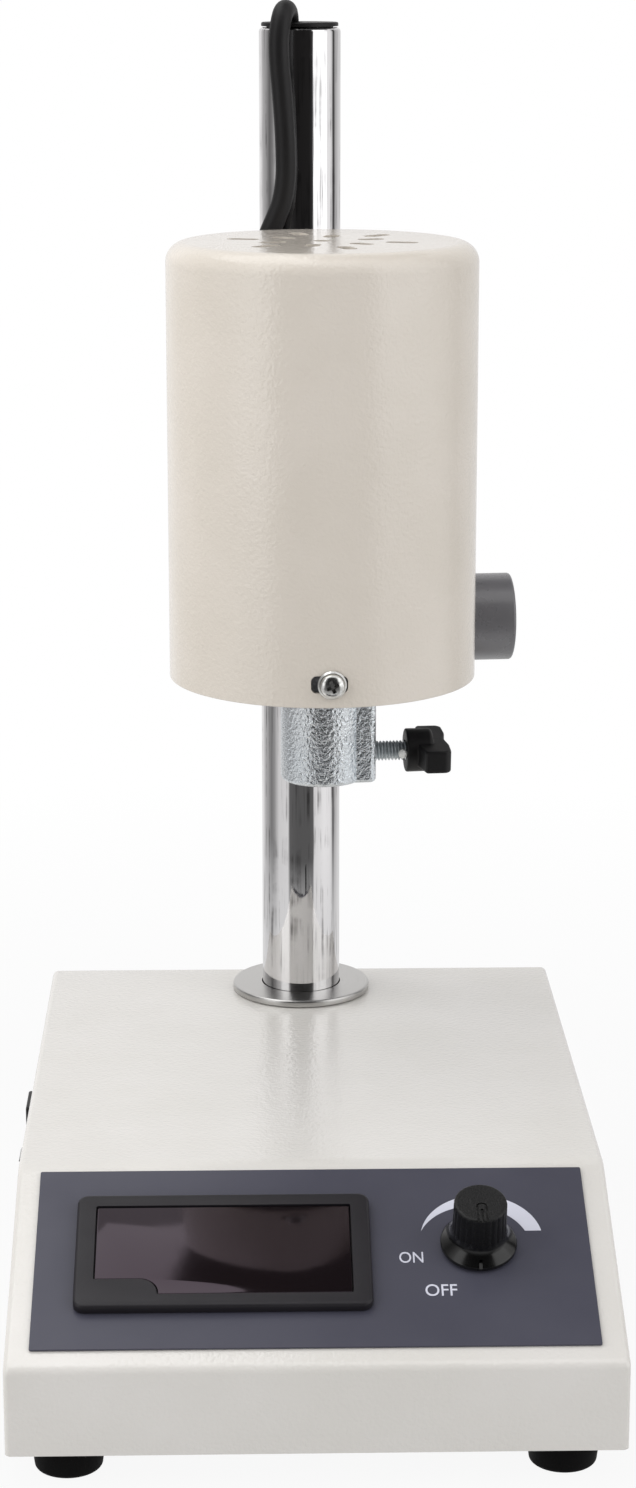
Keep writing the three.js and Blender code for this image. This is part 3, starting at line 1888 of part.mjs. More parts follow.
// Wing screw
piece("wing_screw_tip", wingTip(), brass, motorFrame).position.z = wingHeight;
piece("wing_screw_stud", wingStud(), zinc, motorFrame).position.z = wingHeight;
piece("wing_screw_knob", wingKnob(), blackPlastic, motorFrame).position.z = wingHeight;

// Motor, standing parts
piece("motor_lower_frame", motorLowerFrame(), aluminium, motorFrame);
piece("motor_upper_frame", motorUpperFrame(), aluminium, motorFrame);
piece("lower_bearing", ballBearing(endPlateBottom + bearingShoulder + gap), steel, motorFrame);
piece("upper_bearing", ballBearing(upperBearingBottom), steel, motorFrame);
piece("stator_core", statorCore(), iron, motorFrame);
piece("field_coil_front", fieldCoil(-1), copper, motorFrame);
piece("field_coil_rear", fieldCoil(1), copper, motorFrame);
piece("brush_holder_left", brushHolder(-1), brass, motorFrame);
piece("brush_holder_right", brushHolder(1), brass, motorFrame);
piece("carbon_brush_left", carbonBrush(-1), carbon, motorFrame);
piece("carbon_brush_right", carbonBrush(1), carbon, motorFrame);

// Motor, turning parts
piece("motor_shaft", motorShaft(), steel, motorFrame);
piece("armature", armature(), copper, motorFrame);
piece("commutator", commutator(), copper, motorFrame);
piece("cooling_fan", coolingFan(), blackPlastic, motorFrame);
piece("drive_coupling", driveCoupling(), steel, motorFrame);

// The origin goes to the middle of the footprint of everything but the cable, on the bench.
homogenizer.updateMatrixWorld(true);
const footprint = new THREE.Box3().setFromObject(homogenizer, true);
const middle = footprint.getCenter(new THREE.Vector3());

piece("motor_cable", motorCable(), rubber, homogenizer);
homogenizer.position.set(-middle.x, -middle.y, -footprint.min.z);

export default homogenizer;
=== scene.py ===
# %% [markdown]
# # A laboratory homogenizer, dressed for rendering
# The machine is a painted steel base with a sloping control panel, a chromed column, and a motor
# head that is clamped to the column and can be raised, lowered and swung. This lesson loads the
# plain engineering model as a fixed frame, and then gives every piece the shape and the finish that
# the real one has. The frame is in metres, with Z up, and nothing in it is ever moved.

import math

import bmesh
import bpy
import numpy as np
from mathutils import Matrix, Vector


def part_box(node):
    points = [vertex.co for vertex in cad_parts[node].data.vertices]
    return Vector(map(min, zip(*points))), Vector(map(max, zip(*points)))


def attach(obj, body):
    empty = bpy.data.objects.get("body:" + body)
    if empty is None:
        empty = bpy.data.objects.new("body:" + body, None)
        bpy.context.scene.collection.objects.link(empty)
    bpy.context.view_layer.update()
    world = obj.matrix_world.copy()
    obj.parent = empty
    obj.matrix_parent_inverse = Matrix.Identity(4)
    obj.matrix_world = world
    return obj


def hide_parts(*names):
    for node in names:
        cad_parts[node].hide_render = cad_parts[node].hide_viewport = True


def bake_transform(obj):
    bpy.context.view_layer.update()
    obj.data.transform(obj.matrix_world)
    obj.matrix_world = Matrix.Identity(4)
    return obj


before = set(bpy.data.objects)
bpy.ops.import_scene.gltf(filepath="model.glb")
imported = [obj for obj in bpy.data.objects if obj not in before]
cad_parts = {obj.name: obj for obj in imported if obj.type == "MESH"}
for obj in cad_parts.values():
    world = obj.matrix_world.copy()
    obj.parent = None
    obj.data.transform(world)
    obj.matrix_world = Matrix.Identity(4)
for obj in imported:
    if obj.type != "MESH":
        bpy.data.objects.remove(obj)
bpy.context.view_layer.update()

# %% [markdown]
# ## Where things are
# A machinist would measure this machine from the lower front edge of the base's cover, so the
# lesson does too, in millimetres. The place of that edge is read from the frame. Every piece is
# drawn in millimetres from it, and one 4 by 4 matrix at the end turns that into metres in the row's
# frame. The control panel, the head and the switch each get a matrix of their own, so their pieces
# can be drawn as if they stood upright.

# %% Matrices for the cover, the panel, the head and the switch
MM = 0.001

cover_low, cover_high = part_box("base_cover")
edge = Vector(((cover_low[0] + cover_high[0]) / 2, cover_low[1], cover_low[2]))
TO_ROW = Matrix.Translation(edge) @ Matrix.Scale(MM, 4)
BASE = Matrix.Identity(4)

BASE_WIDTH, BASE_DEPTH = 162, 244
FRONT_HEIGHT, DECK_HEIGHT, SLOPE_RUN = 24.4, 52.8, 70.4
SLOPE = math.atan2(DECK_HEIGHT - FRONT_HEIGHT, SLOPE_RUN)
SLOPE_LENGTH = math.hypot(DECK_HEIGHT - FRONT_HEIGHT, SLOPE_RUN)
PANEL = BASE @ Matrix.Translation((0, 0, FRONT_HEIGHT)) @ Matrix.Rotation(SLOPE, 4, "X")

COLUMN_Y, COLUMN_RADIUS, COLUMN_TOP = 223, 12.3, 355.3
COLUMN = BASE @ Matrix.Translation((0, COLUMN_Y, 0))

HEAD_SWING = math.radians(4.8)
ARM_LENGTH = 62.2
HEAD = COLUMN @ Matrix.Rotation(HEAD_SWING, 4, "Z")
MOTOR = HEAD @ Matrix.Translation((0, -ARM_LENGTH, 0))

SWITCH_Y, SWITCH_Z = 140.2, 35.4
OUT_OF_LEFT_SIDE = Matrix(((0, 0, -1, 0), (-1, 0, 0, 0), (0, 1, 0, 0), (0, 0, 0, 1)))
SWITCH = BASE @ Matrix.Translation((-BASE_WIDTH / 2, SWITCH_Y, SWITCH_Z)) @ OUT_OF_LEFT_SIDE
print("slope", round(math.degrees(SLOPE), 2), "degrees,", round(SLOPE_LENGTH, 1), "mm long")

# %% [markdown]
# ## The camera
# A camera can be matched to a picture by solving for its place, its direction and its lens from
# points whose places are known. That was done from the corners of the base and the outlines of the
# column and the housing. The lens came out long, and the camera looks down at 14 degrees, a little
# to the right. The sensor's width belongs to the long side, which is upright here.

# %% Set up the camera
CAMERA_PLACE = Vector((-18.22, -753.13, 377.84))
CAMERA_PITCH = math.radians(90 - 14.044)
CAMERA_YAW = math.radians(-1.391)
SENSOR_WIDTH, LENS = 36, 76.84

camera_data = bpy.data.cameras.new("camera")
camera_data.sensor_width, camera_data.lens = SENSOR_WIDTH, LENS
camera_data.clip_start, camera_data.clip_end = 0.05, 50
camera = bpy.data.objects.new("camera", camera_data)
camera.location = TO_ROW @ CAMERA_PLACE
camera.rotation_euler = (CAMERA_PITCH, 0, CAMERA_YAW)
bpy.context.scene.collection.objects.link(camera)
bpy.context.scene.camera = camera
print("camera", [round(v, 4) for v in camera.location])

# %% [markdown]
# ## Surfaces from arrays
# Every new piece is a surface worked out with numpy. A surface on a grid has a row for each value
# of one parameter and a column for each value of the other, and its faces are the grid's squares.
# The helpers below turn arrays of points into a mesh whose object sits at the origin, and shade it
# smooth except where two faces meet at a sharp angle.


# %% Helpers that make a mesh object
def grid_faces(rows, columns, wrap_rows=False, wrap_columns=False):
    """Squares of a grid of points. Row i and column j is vertex i times columns plus j; a wrapped
    side joins the last row or column to the first."""
    i = np.arange(rows if wrap_rows else rows - 1)[:, None]
    j = np.arange(columns if wrap_columns else columns - 1)[None, :]
    down, right = (i + 1) % rows, (j + 1) % columns
    corners = (i * columns + j, i * columns + right, down * columns + right, down * columns + j)
    return np.stack(np.broadcast_arrays(*corners), axis=-1).reshape(-1, 4)


def capped_faces(rows, around, wrapped=True):
    """The faces of a grid whose first and last rows are each closed by one flat face."""
    faces = grid_faces(rows, around, wrap_columns=wrapped).tolist()
    last = (rows - 1) * around
    return faces + [list(range(around))[::-1], list(range(last, last + around))]


def weld(obj, distance=1e-3):
    """Merges points closer than the distance, and makes every face look outwards."""
    work = bmesh.new()
    work.from_mesh(obj.data)
    bmesh.ops.remove_doubles(work, verts=work.verts, dist=distance)
    bmesh.ops.recalc_face_normals(work, faces=work.faces)
    work.to_mesh(obj.data)
    work.free()
    return obj


def link_mesh(name, mesh, place):
    """An object at the origin that shows the mesh, whose points are first times the place."""
    mesh.transform(place)
    obj = bpy.data.objects.new(name, mesh)
    bpy.context.scene.collection.objects.link(obj)
    return obj


def mesh_object(name, points, faces, place):
    """An object from its points, and from faces that number the points at their corners."""
    mesh = bpy.data.meshes.new(name)
    mesh.from_pydata(np.asarray(points, float).tolist(), [], [list(map(int, f)) for f in faces])
    return link_mesh(name, mesh, place)


def shade(obj, degrees=35):
    """Smooth shading, with a crease wherever two faces meet at more than the angle."""
    mesh = obj.data
    mesh.polygons.foreach_set("use_smooth", np.ones(len(mesh.polygons), bool))
    mesh.set_sharp_from_angle(angle=math.radians(degrees))
    return obj


def bake_modifiers(obj):
    """Turns what the modifiers show into the object's own mesh."""
    graph = bpy.context.evaluated_depsgraph_get()
    finished = bpy.data.meshes.new_from_object(obj.evaluated_get(graph))
    obj.modifiers.clear()
    old, obj.data = obj.data, finished
    bpy.data.meshes.remove(old)
    return obj


def combine(obj, others, operation):
    """Joins the others to the object, or cuts them out of it, and removes them. Points that the cut
    leaves on top of each other are welded."""
    for other in others:
        modifier = obj.modifiers.new(operation.lower(), "BOOLEAN")
        modifier.operation, modifier.solver, modifier.object = operation, "EXACT", other
        bake_modifiers(obj)
        bpy.data.objects.remove(other)
        weld(obj)
    return obj


def cut(obj, *tools):
    return combine(obj, tools, "DIFFERENCE")


def join(obj, *others):
    return combine(obj, others, "UNION")


def soften(obj, width, segments=2, degrees=35):
    """Rounds every edge sharper than the angle by a bevel of that width in millimetres."""
    bevel = obj.modifiers.new("bevel", "BEVEL")
    bevel.width, bevel.segments = width, segments
    bevel.limit_method, bevel.angle_limit = "ANGLE", math.radians(degrees)
    bevel.use_clamp_overlap = True
    return bake_modifiers(obj)


print("mesh helpers ready")

# %% [markdown]
# ## Profiles, turned shapes and stacked outlines
# Most of this machine was turned, folded or moulded, so three kinds of surface make nearly all of
# it. A polyline whose corners are rounded gives the section. Turning the section about an axis
# gives knobs, cans and rings. Stacking one outline at several heights, drawn in a little at each
# end, gives plates and frames with rounded edges.


# %% Helpers that work out shapes
def rounded(points, radii, steps=8, closed=False):
    """A polyline with arcs at its corners. At a corner with radius r and half angle a between its
    two sides, the arc's centre lies r over sin a along their bisector."""
    points = np.asarray(points, float)
    radii = np.broadcast_to(np.asarray(radii, float), len(points))
    out = []
    for i, (corner, radius) in enumerate(zip(points, radii)):
        if radius <= 0 or (not closed and i in (0, len(points) - 1)):
            out.append(corner[None])
            continue
        back = points[i - 1] - corner
        on = points[(i + 1) % len(points)] - corner
        back, on = back / np.linalg.norm(back), on / np.linalg.norm(on)
        half = math.acos(np.clip(back @ on, -1, 1)) / 2
        middle = (back + on) / np.linalg.norm(back + on)
        centre = corner + middle * radius / math.sin(half)
        start = corner + back * radius / math.tan(half) - centre
        end = corner + on * radius / math.tan(half) - centre
        a0, a1 = math.atan2(start[1], start[0]), math.atan2(end[1], end[0])
        sweep = (a1 - a0 + math.pi) % (2 * math.pi) - math.pi
        angles = a0 + sweep * np.linspace(0, 1, steps + 1)
        out.append(centre + radius * np.stack([np.cos(angles), np.sin(angles)], 1))
    return np.concatenate(out)


def rectangle(width, height, radius, steps=8):
    """A rounded rectangle about the origin, anticlockwise."""
    x, y = width / 2, height / 2
    return rounded([(-x, -y), (x, -y), (x, y), (-x, y)], radius, steps, closed=True)


def circle(radius, count=96):
    """Points at equal angles round the origin."""
    angles = np.arange(count) * 2 * math.pi / count
    return radius * np.stack([np.cos(angles), np.sin(angles)], 1)


def turned(name, profile, place, segments=128, ripple=None):
    """The profile's points of radius and height turned about Z: x is radius times cosine, y is
    radius times sine. The ripple, if given, is a factor on the radius by row and angle."""
    profile = np.asarray(profile, float)
    angles = np.arange(segments) * 2 * math.pi / segments
    radius = profile[:, 0][:, None] * np.ones(segments)
    if ripple is not None:
        radius = radius * ripple(profile, angles)
    height = profile[:, 1][:, None] * np.ones(segments)
    points = np.stack([radius * np.cos(angles), radius * np.sin(angles), height], -1)
    closed = np.allclose(profile[0], profile[-1])
    if closed:
        points = points[:-1]
    faces = grid_faces(len(points), segments, wrap_rows=closed, wrap_columns=True)
    return weld(mesh_object(name, points.reshape(-1, 3), faces, place))


def drawn_in(outline, inset):
    """The outline moved inwards: each point goes along its corner's bisector by the inset over the
    cosine of half the turn there."""
    before, after = np.roll(outline, 1, 0), np.roll(outline, -1, 0)
    a, b = outline - before, after - outline
    a, b = a / np.linalg.norm(a, axis=1)[:, None], b / np.linalg.norm(b, axis=1)[:, None]
    normal = np.stack([-(a[:, 1] + b[:, 1]), a[:, 0] + b[:, 0]], 1)
    normal /= np.linalg.norm(normal, axis=1)[:, None]
    lean = np.clip(normal[:, 0] * -b[:, 1] + normal[:, 1] * b[:, 0], 0.3, 1)
    return outline + normal * (inset / lean)[:, None]


def stacked(name, outline, levels, place):
    """The outline at each level of inset and height, from the lowest up, closed by flat ends."""
    rings = [np.c_[drawn_in(outline, inset), np.full(len(outline), z)] for inset, z in levels]
    faces = capped_faces(len(rings), len(outline))
    return mesh_object(name, np.concatenate(rings), faces, place)


def edge_levels(bottom, top, low_radius, high_radius, steps=5):
    """Levels for a stacked shape whose lower and upper edges are quarter rounds."""
    turn = np.linspace(0, math.pi / 2, steps + 1)
    low = [(low_radius * (1 - math.sin(t)), bottom + low_radius * (1 - math.cos(t))) for t in turn]
    high = [(high_radius * (1 - math.cos(t)), top - high_radius * (1 - math.sin(t))) for t in turn]
    return (low if low_radius else [(0, bottom)]) + (high if high_radius else [(0, top)])


def plate(name, outline, bottom, top, place, low_radius=0.0, high_radius=0.0):
    """A slab with that outline between two heights, its edges rounded by the two radii."""
    return stacked(name, outline, edge_levels(bottom, top, low_radius, high_radius), place)


def turn(axis, degrees):
    return Matrix.Rotation(math.radians(degrees), 4, axis)


def shift(x, y, z):
    return Matrix.Translation((x, y, z))


print("shape helpers ready")

# %% [markdown]
# ## The motor cable
# A soft black cable comes out of a hole in the column's cap, bends over, and goes down behind the
# housing to a gland on the bracket. It is a cable of a fixed length. A tube is a circle carried along
# a smooth line.

# %% Route and tube of the motor cable
CABLE_RADIUS, CABLE_BOTTOM, CABLE_SPACING = 3.1, 198.7, 1.2
# Each point: its place across, how far it lies in front of the column, and its share of the height
CABLE_ROUTE = [
    (-3.4, -11.7, 0.9628),
    (-3.4, -11.3, 0.9853),
    (-3.4, -9.8, 1.0103),
    (-3.7, -6.9, 1.0263),
    (-4.4, -2.9, 1.0328),
    (-5.3, 0.6, 1.025),
    (-6.1, 2.3, 1.0019),
    (-6.5, 2.8, 0.9724),
    (-6.3, 2.8, 0.9339),
    (-5.6, 2.7, 0.8826),
    (-4.9, 2.6, 0.8249),
    (-4.5, 2.5, 0.7672),
    (-4.6, 2.5, 0.7191),
    (-5.6, 2.5, 0.6787),
    (-7.3, 2.6, 0.6492),
    (-9.3, 2.7, 0.6196),
    (-11.9, 2.8, 0.5779),
    (-14.6, 3.1, 0.517),
    (-17.0, 3.4, 0.4272),
    (-18.6, 3.7, 0.3117),
    (-19.2, 3.8, 0.1835),
    (-19.2, 3.8, 0.0808),
    (-19.2, 3.8, 0.0),
]


def smooth_line(points, spacing):
    """A line through the points by Catmull-Rom cubics, then evened out: the arc length is summed
    along it, and points are taken at equal steps of that length."""
    p = np.vstack([2 * points[0] - points[1], points, 2 * points[-1] - points[-2]])
    t = np.linspace(0, 1, 24, endpoint=False)[:, None]
    a, b, c, d = p[:-3, None], p[1:-2, None], p[2:-1, None], p[3:, None]
    curve = 0.5 * (
        2 * b + (c - a) * t + (2 * a - 5 * b + 4 * c - d) * t**2 + (3 * b - 3 * c + d - a) * t**3
    )
    line = np.vstack([curve.reshape(-1, 3), points[-1]])
    length = np.r_[0, np.cumsum(np.linalg.norm(np.diff(line, axis=0), axis=1))]
    even = np.linspace(0, length[-1], int(length[-1] / spacing) + 1)
    return np.stack([np.interp(even, length, line[:, k]) for k in range(3)], 1), length[-1]


def tube(name, line, radius, place, around=24):
    """A circle carried along a line. At each point the tangent is the difference of its neighbours,
    one side is the last side made square to it, and the other side is square to both. Flat faces
    close the ends."""
    tangent = np.gradient(line, axis=0)
    tangent /= np.linalg.norm(tangent, axis=1)[:, None]
    side = np.empty_like(tangent)
    last = np.array([1.0, 0.0, 0.0])
    for i, direction in enumerate(tangent):
        last = last - direction * (last @ direction)
        last /= np.linalg.norm(last)
        side[i] = last
    other = np.cross(tangent, side)
    angle = np.arange(around) * 2 * math.pi / around
    ring = side[:, None] * np.cos(angle)[:, None] + other[:, None] * np.sin(angle)[:, None]
    points = (line[:, None] + radius * ring).reshape(-1, 3)
    return mesh_object(name, points, capped_faces(len(line), around), place)


route = np.array(CABLE_ROUTE)
route_y = COLUMN_Y - COLUMN_RADIUS - route[:, 1]
route_z = CABLE_BOTTOM + (COLUMN_TOP - CABLE_BOTTOM) * route[:, 2]
cable_points = np.stack([route[:, 0], route_y, route_z], 1)
cable_line, cable_length = smooth_line(cable_points, CABLE_SPACING)
motor_cable = shade(tube("cable_tube", cable_line, CABLE_RADIUS, TO_ROW))
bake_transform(motor_cable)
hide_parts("motor_cable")
print("cable length in mm", round(cable_length, 1))

# %% [markdown]
# ## Shared effects for the finishes
# Real finishes are never one flat colour. Paint has an orange-peel ripple, moulded plastic a fine
# grain, a casting a sparkle of sand marks, and turned metal has rings. Each such effect is a node
# group with named inputs, built once and used in several materials with its own values. A group
# gives only a colour, a roughness and a normal, and constants stay on the shader. All groups have
# the same inputs, so one function builds each of them from a short recipe.


# %% Helpers that build node trees
def srgb(red, green, blue):
    """A colour as seen on a screen, 0 to 255, turned into the linear light that shaders use."""
    values = np.array([red, green, blue]) / 255
    linear = np.where(values <= 0.04045, values / 12.92, ((values + 0.055) / 1.055) ** 2.4)
    return (*linear.tolist(), 1.0)


def add(tree, kind, links=None, **settings):
    """A node with its settings. A link's key is an input's name or number, and its value is
    another node's output or a plain value."""
    node = tree.nodes.new("ShaderNode" + kind)
    for key, value in settings.items():
        setattr(node, key, value)
    for key, value in (links or {}).items():
        if isinstance(value, bpy.types.NodeSocket):
            tree.links.new(value, node.inputs[key])
        else:
            node.inputs[key].default_value = value
    return node


def maths(tree, operation, *values, kind="Math"):
    """One step of arithmetic on numbers, or on vectors where the kind is VectorMath."""
    node = add(tree, kind, dict(enumerate(values)), operation=operation)
    return node.outputs["Value" if operation == "LENGTH" else 0]


def noise(tree, coordinates, scale, detail=4.0):
    links = {"Vector": coordinates, "Scale": scale, "Detail": detail, "Roughness": 0.55}
    return add(tree, "TexNoise", links).outputs["Fac"]


def ramp(tree, value, low, high, out_low=0.0, out_high=1.0):
    """The value moved from one range to another, and kept inside it."""
    links = {"Value": value, "From Min": low, "From Max": high, "To Min": out_low, "To Max": out_high}
    return add(tree, "MapRange", links).outputs["Result"]


def bump(tree, height, distance):
    return add(tree, "Bump", {"Height": height, "Distance": distance}).outputs["Normal"]


def mix_colour(tree, amount, first, second):
    return add(tree, "Mix", {0: amount, 6: first, 7: second}, data_type="RGBA").outputs[2]


def object_coordinates(tree):
    return add(tree, "TexCoord").outputs["Object"]


print("node helpers ready")


# %% Groups: skin, sparkle, rings, layers and drawn tube
def gloss(tree, given, value, low, high):
    """The value's range moved to the range of roughness that the group was given."""
    return ramp(tree, value, low, high, given["Roughness Low"], given["Roughness High"])


def skin_effect(tree, given):
    """Paint or moulded plastic. The colour drifts between two by broad noise, fine noise ripples
    the surface, and broad noise makes some patches glossier."""
    where = object_coordinates(tree)
    drift = ramp(tree, noise(tree, where, 25.0, 3.0), 0.35, 0.65)
    colour = mix_colour(tree, drift, given["Color"], given["Shade"])
    ripple = noise(tree, where, given["Scale"], 2.0)
    rough = gloss(tree, given, noise(tree, where, 70.0, 5.0), 0.3, 0.7)
    return colour, rough, bump(tree, ripple, given["Height"])


def sparkle_effect(tree, given):
    """Cast or granular surfaces. Small cells each take their own shade and their own tilt, over a
    coarser noise of dark pits."""
    where = object_coordinates(tree)
    cells = add(tree, "TexVoronoi", {"Vector": where, "Scale": given["Scale"]}).outputs["Distance"]
    relief = maths(tree, "ADD", cells, noise(tree, where, 260.0))
    colour = mix_colour(tree, ramp(tree, relief, 0.55, 1.15), given["Color"], given["Shade"])
    return colour, gloss(tree, given, cells, 0.0, 0.7), bump(tree, relief, given["Height"])


def rings_effect(tree, given):
    """Metal turned on a lathe. The distance from the column's axis drives a sine wave and a fine
    noise, which together are the tool's grooves."""
    axis = TO_ROW @ COLUMN @ Vector((0, 0, 0))
    flat = maths(tree, "MULTIPLY", object_coordinates(tree), (1, 1, 0), kind="VectorMath")
    outwards = maths(tree, "SUBTRACT", flat, (axis.x, axis.y, 0), kind="VectorMath")
    distance = maths(tree, "LENGTH", outwards, kind="VectorMath")
    phase = maths(tree, "MULTIPLY", distance, given["Scale"])
    scratches = noise(tree, add(tree, "CombineXYZ", {0: phase}).outputs[0], 0.7)
    grooves = maths(tree, "MULTIPLY_ADD", maths(tree, "SINE", phase), 0.3, scratches)
    colour = mix_colour(tree, scratches, given["Color"], given["Shade"])
    return colour, gloss(tree, given, scratches, 0.3, 0.7), bump(tree, grooves, given["Height"])


def layers_effect(tree, given):
    """Wound wire or stacked sheet. A wave along one axis gives the strands or the sheets, and a
    little noise keeps them from being perfect."""
    where = object_coordinates(tree)
    links = {"Vector": where, "Scale": given["Scale"], "Distortion": 0.4}
    wave = add(tree, "TexWave", links, bands_direction="Z").outputs["Fac"]
    colour = mix_colour(tree, wave, given["Shade"], given["Color"])
    rough = gloss(tree, given, noise(tree, where, 120.0), 0.3, 0.7)
    return colour, rough, bump(tree, wave, given["Height"])


def drawn_effect(tree, given):
    """Tube drawn through a die. Noise stretched along Z, because its coordinate there is made small,
    gives long fine scratches. They ripple the surface, darken it, and dull it a little."""
    where = object_coordinates(tree)
    long = maths(tree, "MULTIPLY", where, (1, 1, 0.03), kind="VectorMath")
    scratches = noise(tree, long, given["Scale"], 3.0)
    patches = ramp(tree, noise(tree, where, 90.0, 3.0), 0.42, 0.62)
    dark = maths(tree, "MULTIPLY", ramp(tree, scratches, 0.5, 0.72), patches)
    colour = mix_colour(tree, dark, given["Color"], given["Shade"])
    return colour, gloss(tree, given, dark, 0.0, 1.0), bump(tree, scratches, given["Height"])


GROUP_INPUTS = {
    "Color": "Color", "Shade": "Color", "Scale": "Float",
    "Height": "Float", "Roughness Low": "Float", "Roughness High": "Float",
}
GROUP_OUTPUTS = {"Color": "Color", "Roughness": "Float", "Normal": "Vector"}


def effect_group(name, effect):
    """A node group round an effect, which is a function of the tree and the group's inputs that
    gives a colour, a roughness and a normal."""
    tree = bpy.data.node_groups.new(name, "ShaderNodeTree")
    for way, sockets in (("INPUT", GROUP_INPUTS), ("OUTPUT", GROUP_OUTPUTS)):
        for label, kind in sockets.items():
            tree.interface.new_socket(label, in_out=way, socket_type="NodeSocket" + kind)
    start, end = tree.nodes.new("NodeGroupInput"), tree.nodes.new("NodeGroupOutput")
    for label, result in zip(GROUP_OUTPUTS, effect(tree, start.outputs)):
        tree.links.new(result, end.inputs[label])
    return tree


effects = {
    "skin": skin_effect,
    "sparkle": sparkle_effect,
    "rings": rings_effect,
    "layers": layers_effect,
    "drawn": drawn_effect,
}
GROUPS = {name: effect_group(name, effect) for name, effect in effects.items()}
print("groups", sorted(GROUPS))

# %% [markdown]
# ## The finishes
# One function makes a material from a group and its values, because the finishes differ only in
# numbers: two colours, the bounds of the roughness, and the scale and the height of the relief in
# metres. The base and the housing are enamelled in warm light greys, glossy and with a slight orange
# peel. The overlay is a printed film, satin and slate grey. The column is chrome, and the tool
# socket is a bare casting.


# %% A function that makes a material
def blank_material(name):
    """A material with an empty node tree, and that tree."""
    material = bpy.data.materials.new(name)
    material.use_nodes = True
    material.node_tree.nodes.clear()
    return material, material.node_tree


def show(tree, shader, kind="OutputMaterial"):
    """Links a shader to the output of its tree."""
    tree.links.new(shader.outputs[0], add(tree, kind).inputs["Surface"])


def finish(name, group, colour, shade_colour, low, high, scale, height, metallic=0.0, specular=0.5,
           tint=(1, 1, 1, 1)):
    """A Principled shader fed by a group. The colours are as seen on a screen, low and high bound
    the roughness, and the scale and the height are those of the relief."""
    material, tree = blank_material(name)
    constants = {"Metallic": metallic, "Specular IOR Level": specular, "Specular Tint": tint}
    surface = add(tree, "BsdfPrincipled", constants)
    effect = add(tree, "Group", node_tree=GROUPS[group])
    values = (srgb(*colour), srgb(*shade_colour), scale, height, low, high)
    for label, value in zip(GROUP_INPUTS, values):
        effect.inputs[label].default_value = value
    for label, target in zip(GROUP_OUTPUTS, ("Base Color", "Roughness", "Normal")):
        tree.links.new(effect.outputs[label], surface.inputs[target])
    show(tree, surface)
    return material


def skin(name, *values, **constants):
    return finish(name, "skin", *values, **constants)


def metal(name, group, *values):
    return finish(name, group, *values, metallic=1.0)


# %% Materials: enamel, plastics and rubber
enamel = skin(
    "pale_enamel", (226, 223, 218), (222, 219, 213), 0.07, 0.11, 850, 0.00014, specular=0.6
)
cream_enamel = skin(
    "cream_enamel", (224, 216, 205), (219, 211, 199), 0.05, 0.09, 850, 0.00017, specular=0.62
)
overlay_film = skin(
    "slate_film", (73, 73, 85), (69, 69, 81), 0.34, 0.42, 2600, 0.00001, specular=0.35
)
moulded_black = skin(
    "moulded_black", (19, 18, 19), (15, 14, 15), 0.4, 0.5, 2200, 0.00003, specular=0.3
)
bezel_black = skin("bezel_black", (36, 34, 38), (32, 30, 34), 0.38, 0.48, 2500, 0.00002, specular=0.3)
grained_black = skin(
    "grained_black", (14, 14, 15), (10, 10, 11), 0.34, 0.44, 1700, 0.00022, specular=0.35
)
gloss_black = skin("gloss_black", (12, 12, 12), (9, 9, 9), 0.14, 0.2, 500, 0.000004)
foot_rubber = skin("foot_rubber", (10, 9, 9), (14, 13, 13), 0.6, 0.75, 1500, 0.00006, specular=0.08)
cable_sheath = skin("cable_sheath", (24, 23, 24), (19, 18, 19), 0.42, 0.55, 1800, 0.00004, specular=0.3)
knob_grey = skin(
    "knob_grey", (105, 104, 107), (100, 99, 102), 0.24, 0.32, 2400, 0.00002, specular=0.9
)
print_white = skin("print_white", (214, 215, 227), (208, 209, 221), 0.5, 0.6, 2600, 0.00001)
ball_white = skin("pale_white", (234, 234, 230), (226, 226, 222), 0.3, 0.4, 600, 0.00005)
print("painted and moulded finishes ready")

# %% Materials: metals
socket_cast = metal("socket_cast", "skin", (228, 231, 233), (212, 218, 223), 0.18, 0.28, 1000, 0.0005)
# A grey casting whose colour is darker than the bare metal: painted shade, for the shade that falls under
# the housing.
bracket_cast_painted_shade = finish(
    "bracket_cast_painted_shade", "sparkle", (128, 129, 132), (92, 94, 97), 0.5, 0.7, 900, 0.00015, metallic=0.1
)
chrome = metal("column_chrome", "drawn", (232, 231, 232), (100, 98, 98), 0.03, 0.09, 900, 0.000015)
turned_metal = metal(
    "flange_turned", "rings", (196, 195, 193), (196, 195, 193), 0.15, 0.4, 14000, 0.00002
)
plated = metal("plated_steel", "sparkle", (222, 226, 228), (200, 205, 208), 0.32, 0.46, 2500, 0.00002)
polished = metal(
    "polished_screw", "sparkle", (226, 226, 224), (206, 206, 203), 0.14, 0.24, 1500, 0.00001
)
blackened = skin("blackened_steel", (44, 43, 44), (36, 35, 36), 0.35, 0.5, 2000, 0.00002, metallic=0.6)
aluminium = metal(
    "bare_aluminium", "sparkle", (196, 197, 199), (170, 171, 174), 0.32, 0.48, 1800, 0.00004
)
brass = metal("turned_brass", "sparkle", (196, 164, 96), (164, 132, 74), 0.25, 0.4, 2000, 0.00002)
zinc_sheet = metal("zinc_sheet", "sparkle", (186, 188, 190), (160, 163, 167), 0.28, 0.42, 120, 0.00001)
print("metal finishes ready")

# %% Materials: inner parts and glass
windings = finish(
    "copper_windings", "layers", (184, 104, 62), (92, 44, 24), 0.3, 0.5, 380, 0.0002, metallic=0.6
)
laminations = finish(
    "iron_laminations", "layers", (128, 128, 130), (66, 66, 70), 0.3, 0.5, 420, 0.0002, metallic=0.7
)
laminate = skin("board_laminate", (46, 92, 58), (38, 80, 50), 0.3, 0.45, 700, 0.00004)
carbon = skin("pressed_carbon", (52, 52, 54), (42, 42, 44), 0.55, 0.7, 1400, 0.00006)
smoked = skin(
    "smoked_window", (19, 13, 14), (16, 11, 12), 0.05, 0.08, 90, 0.00001, specular=0.4,
    tint=(1.0, 0.78, 0.97, 1.0),
)
print("inner finishes ready")
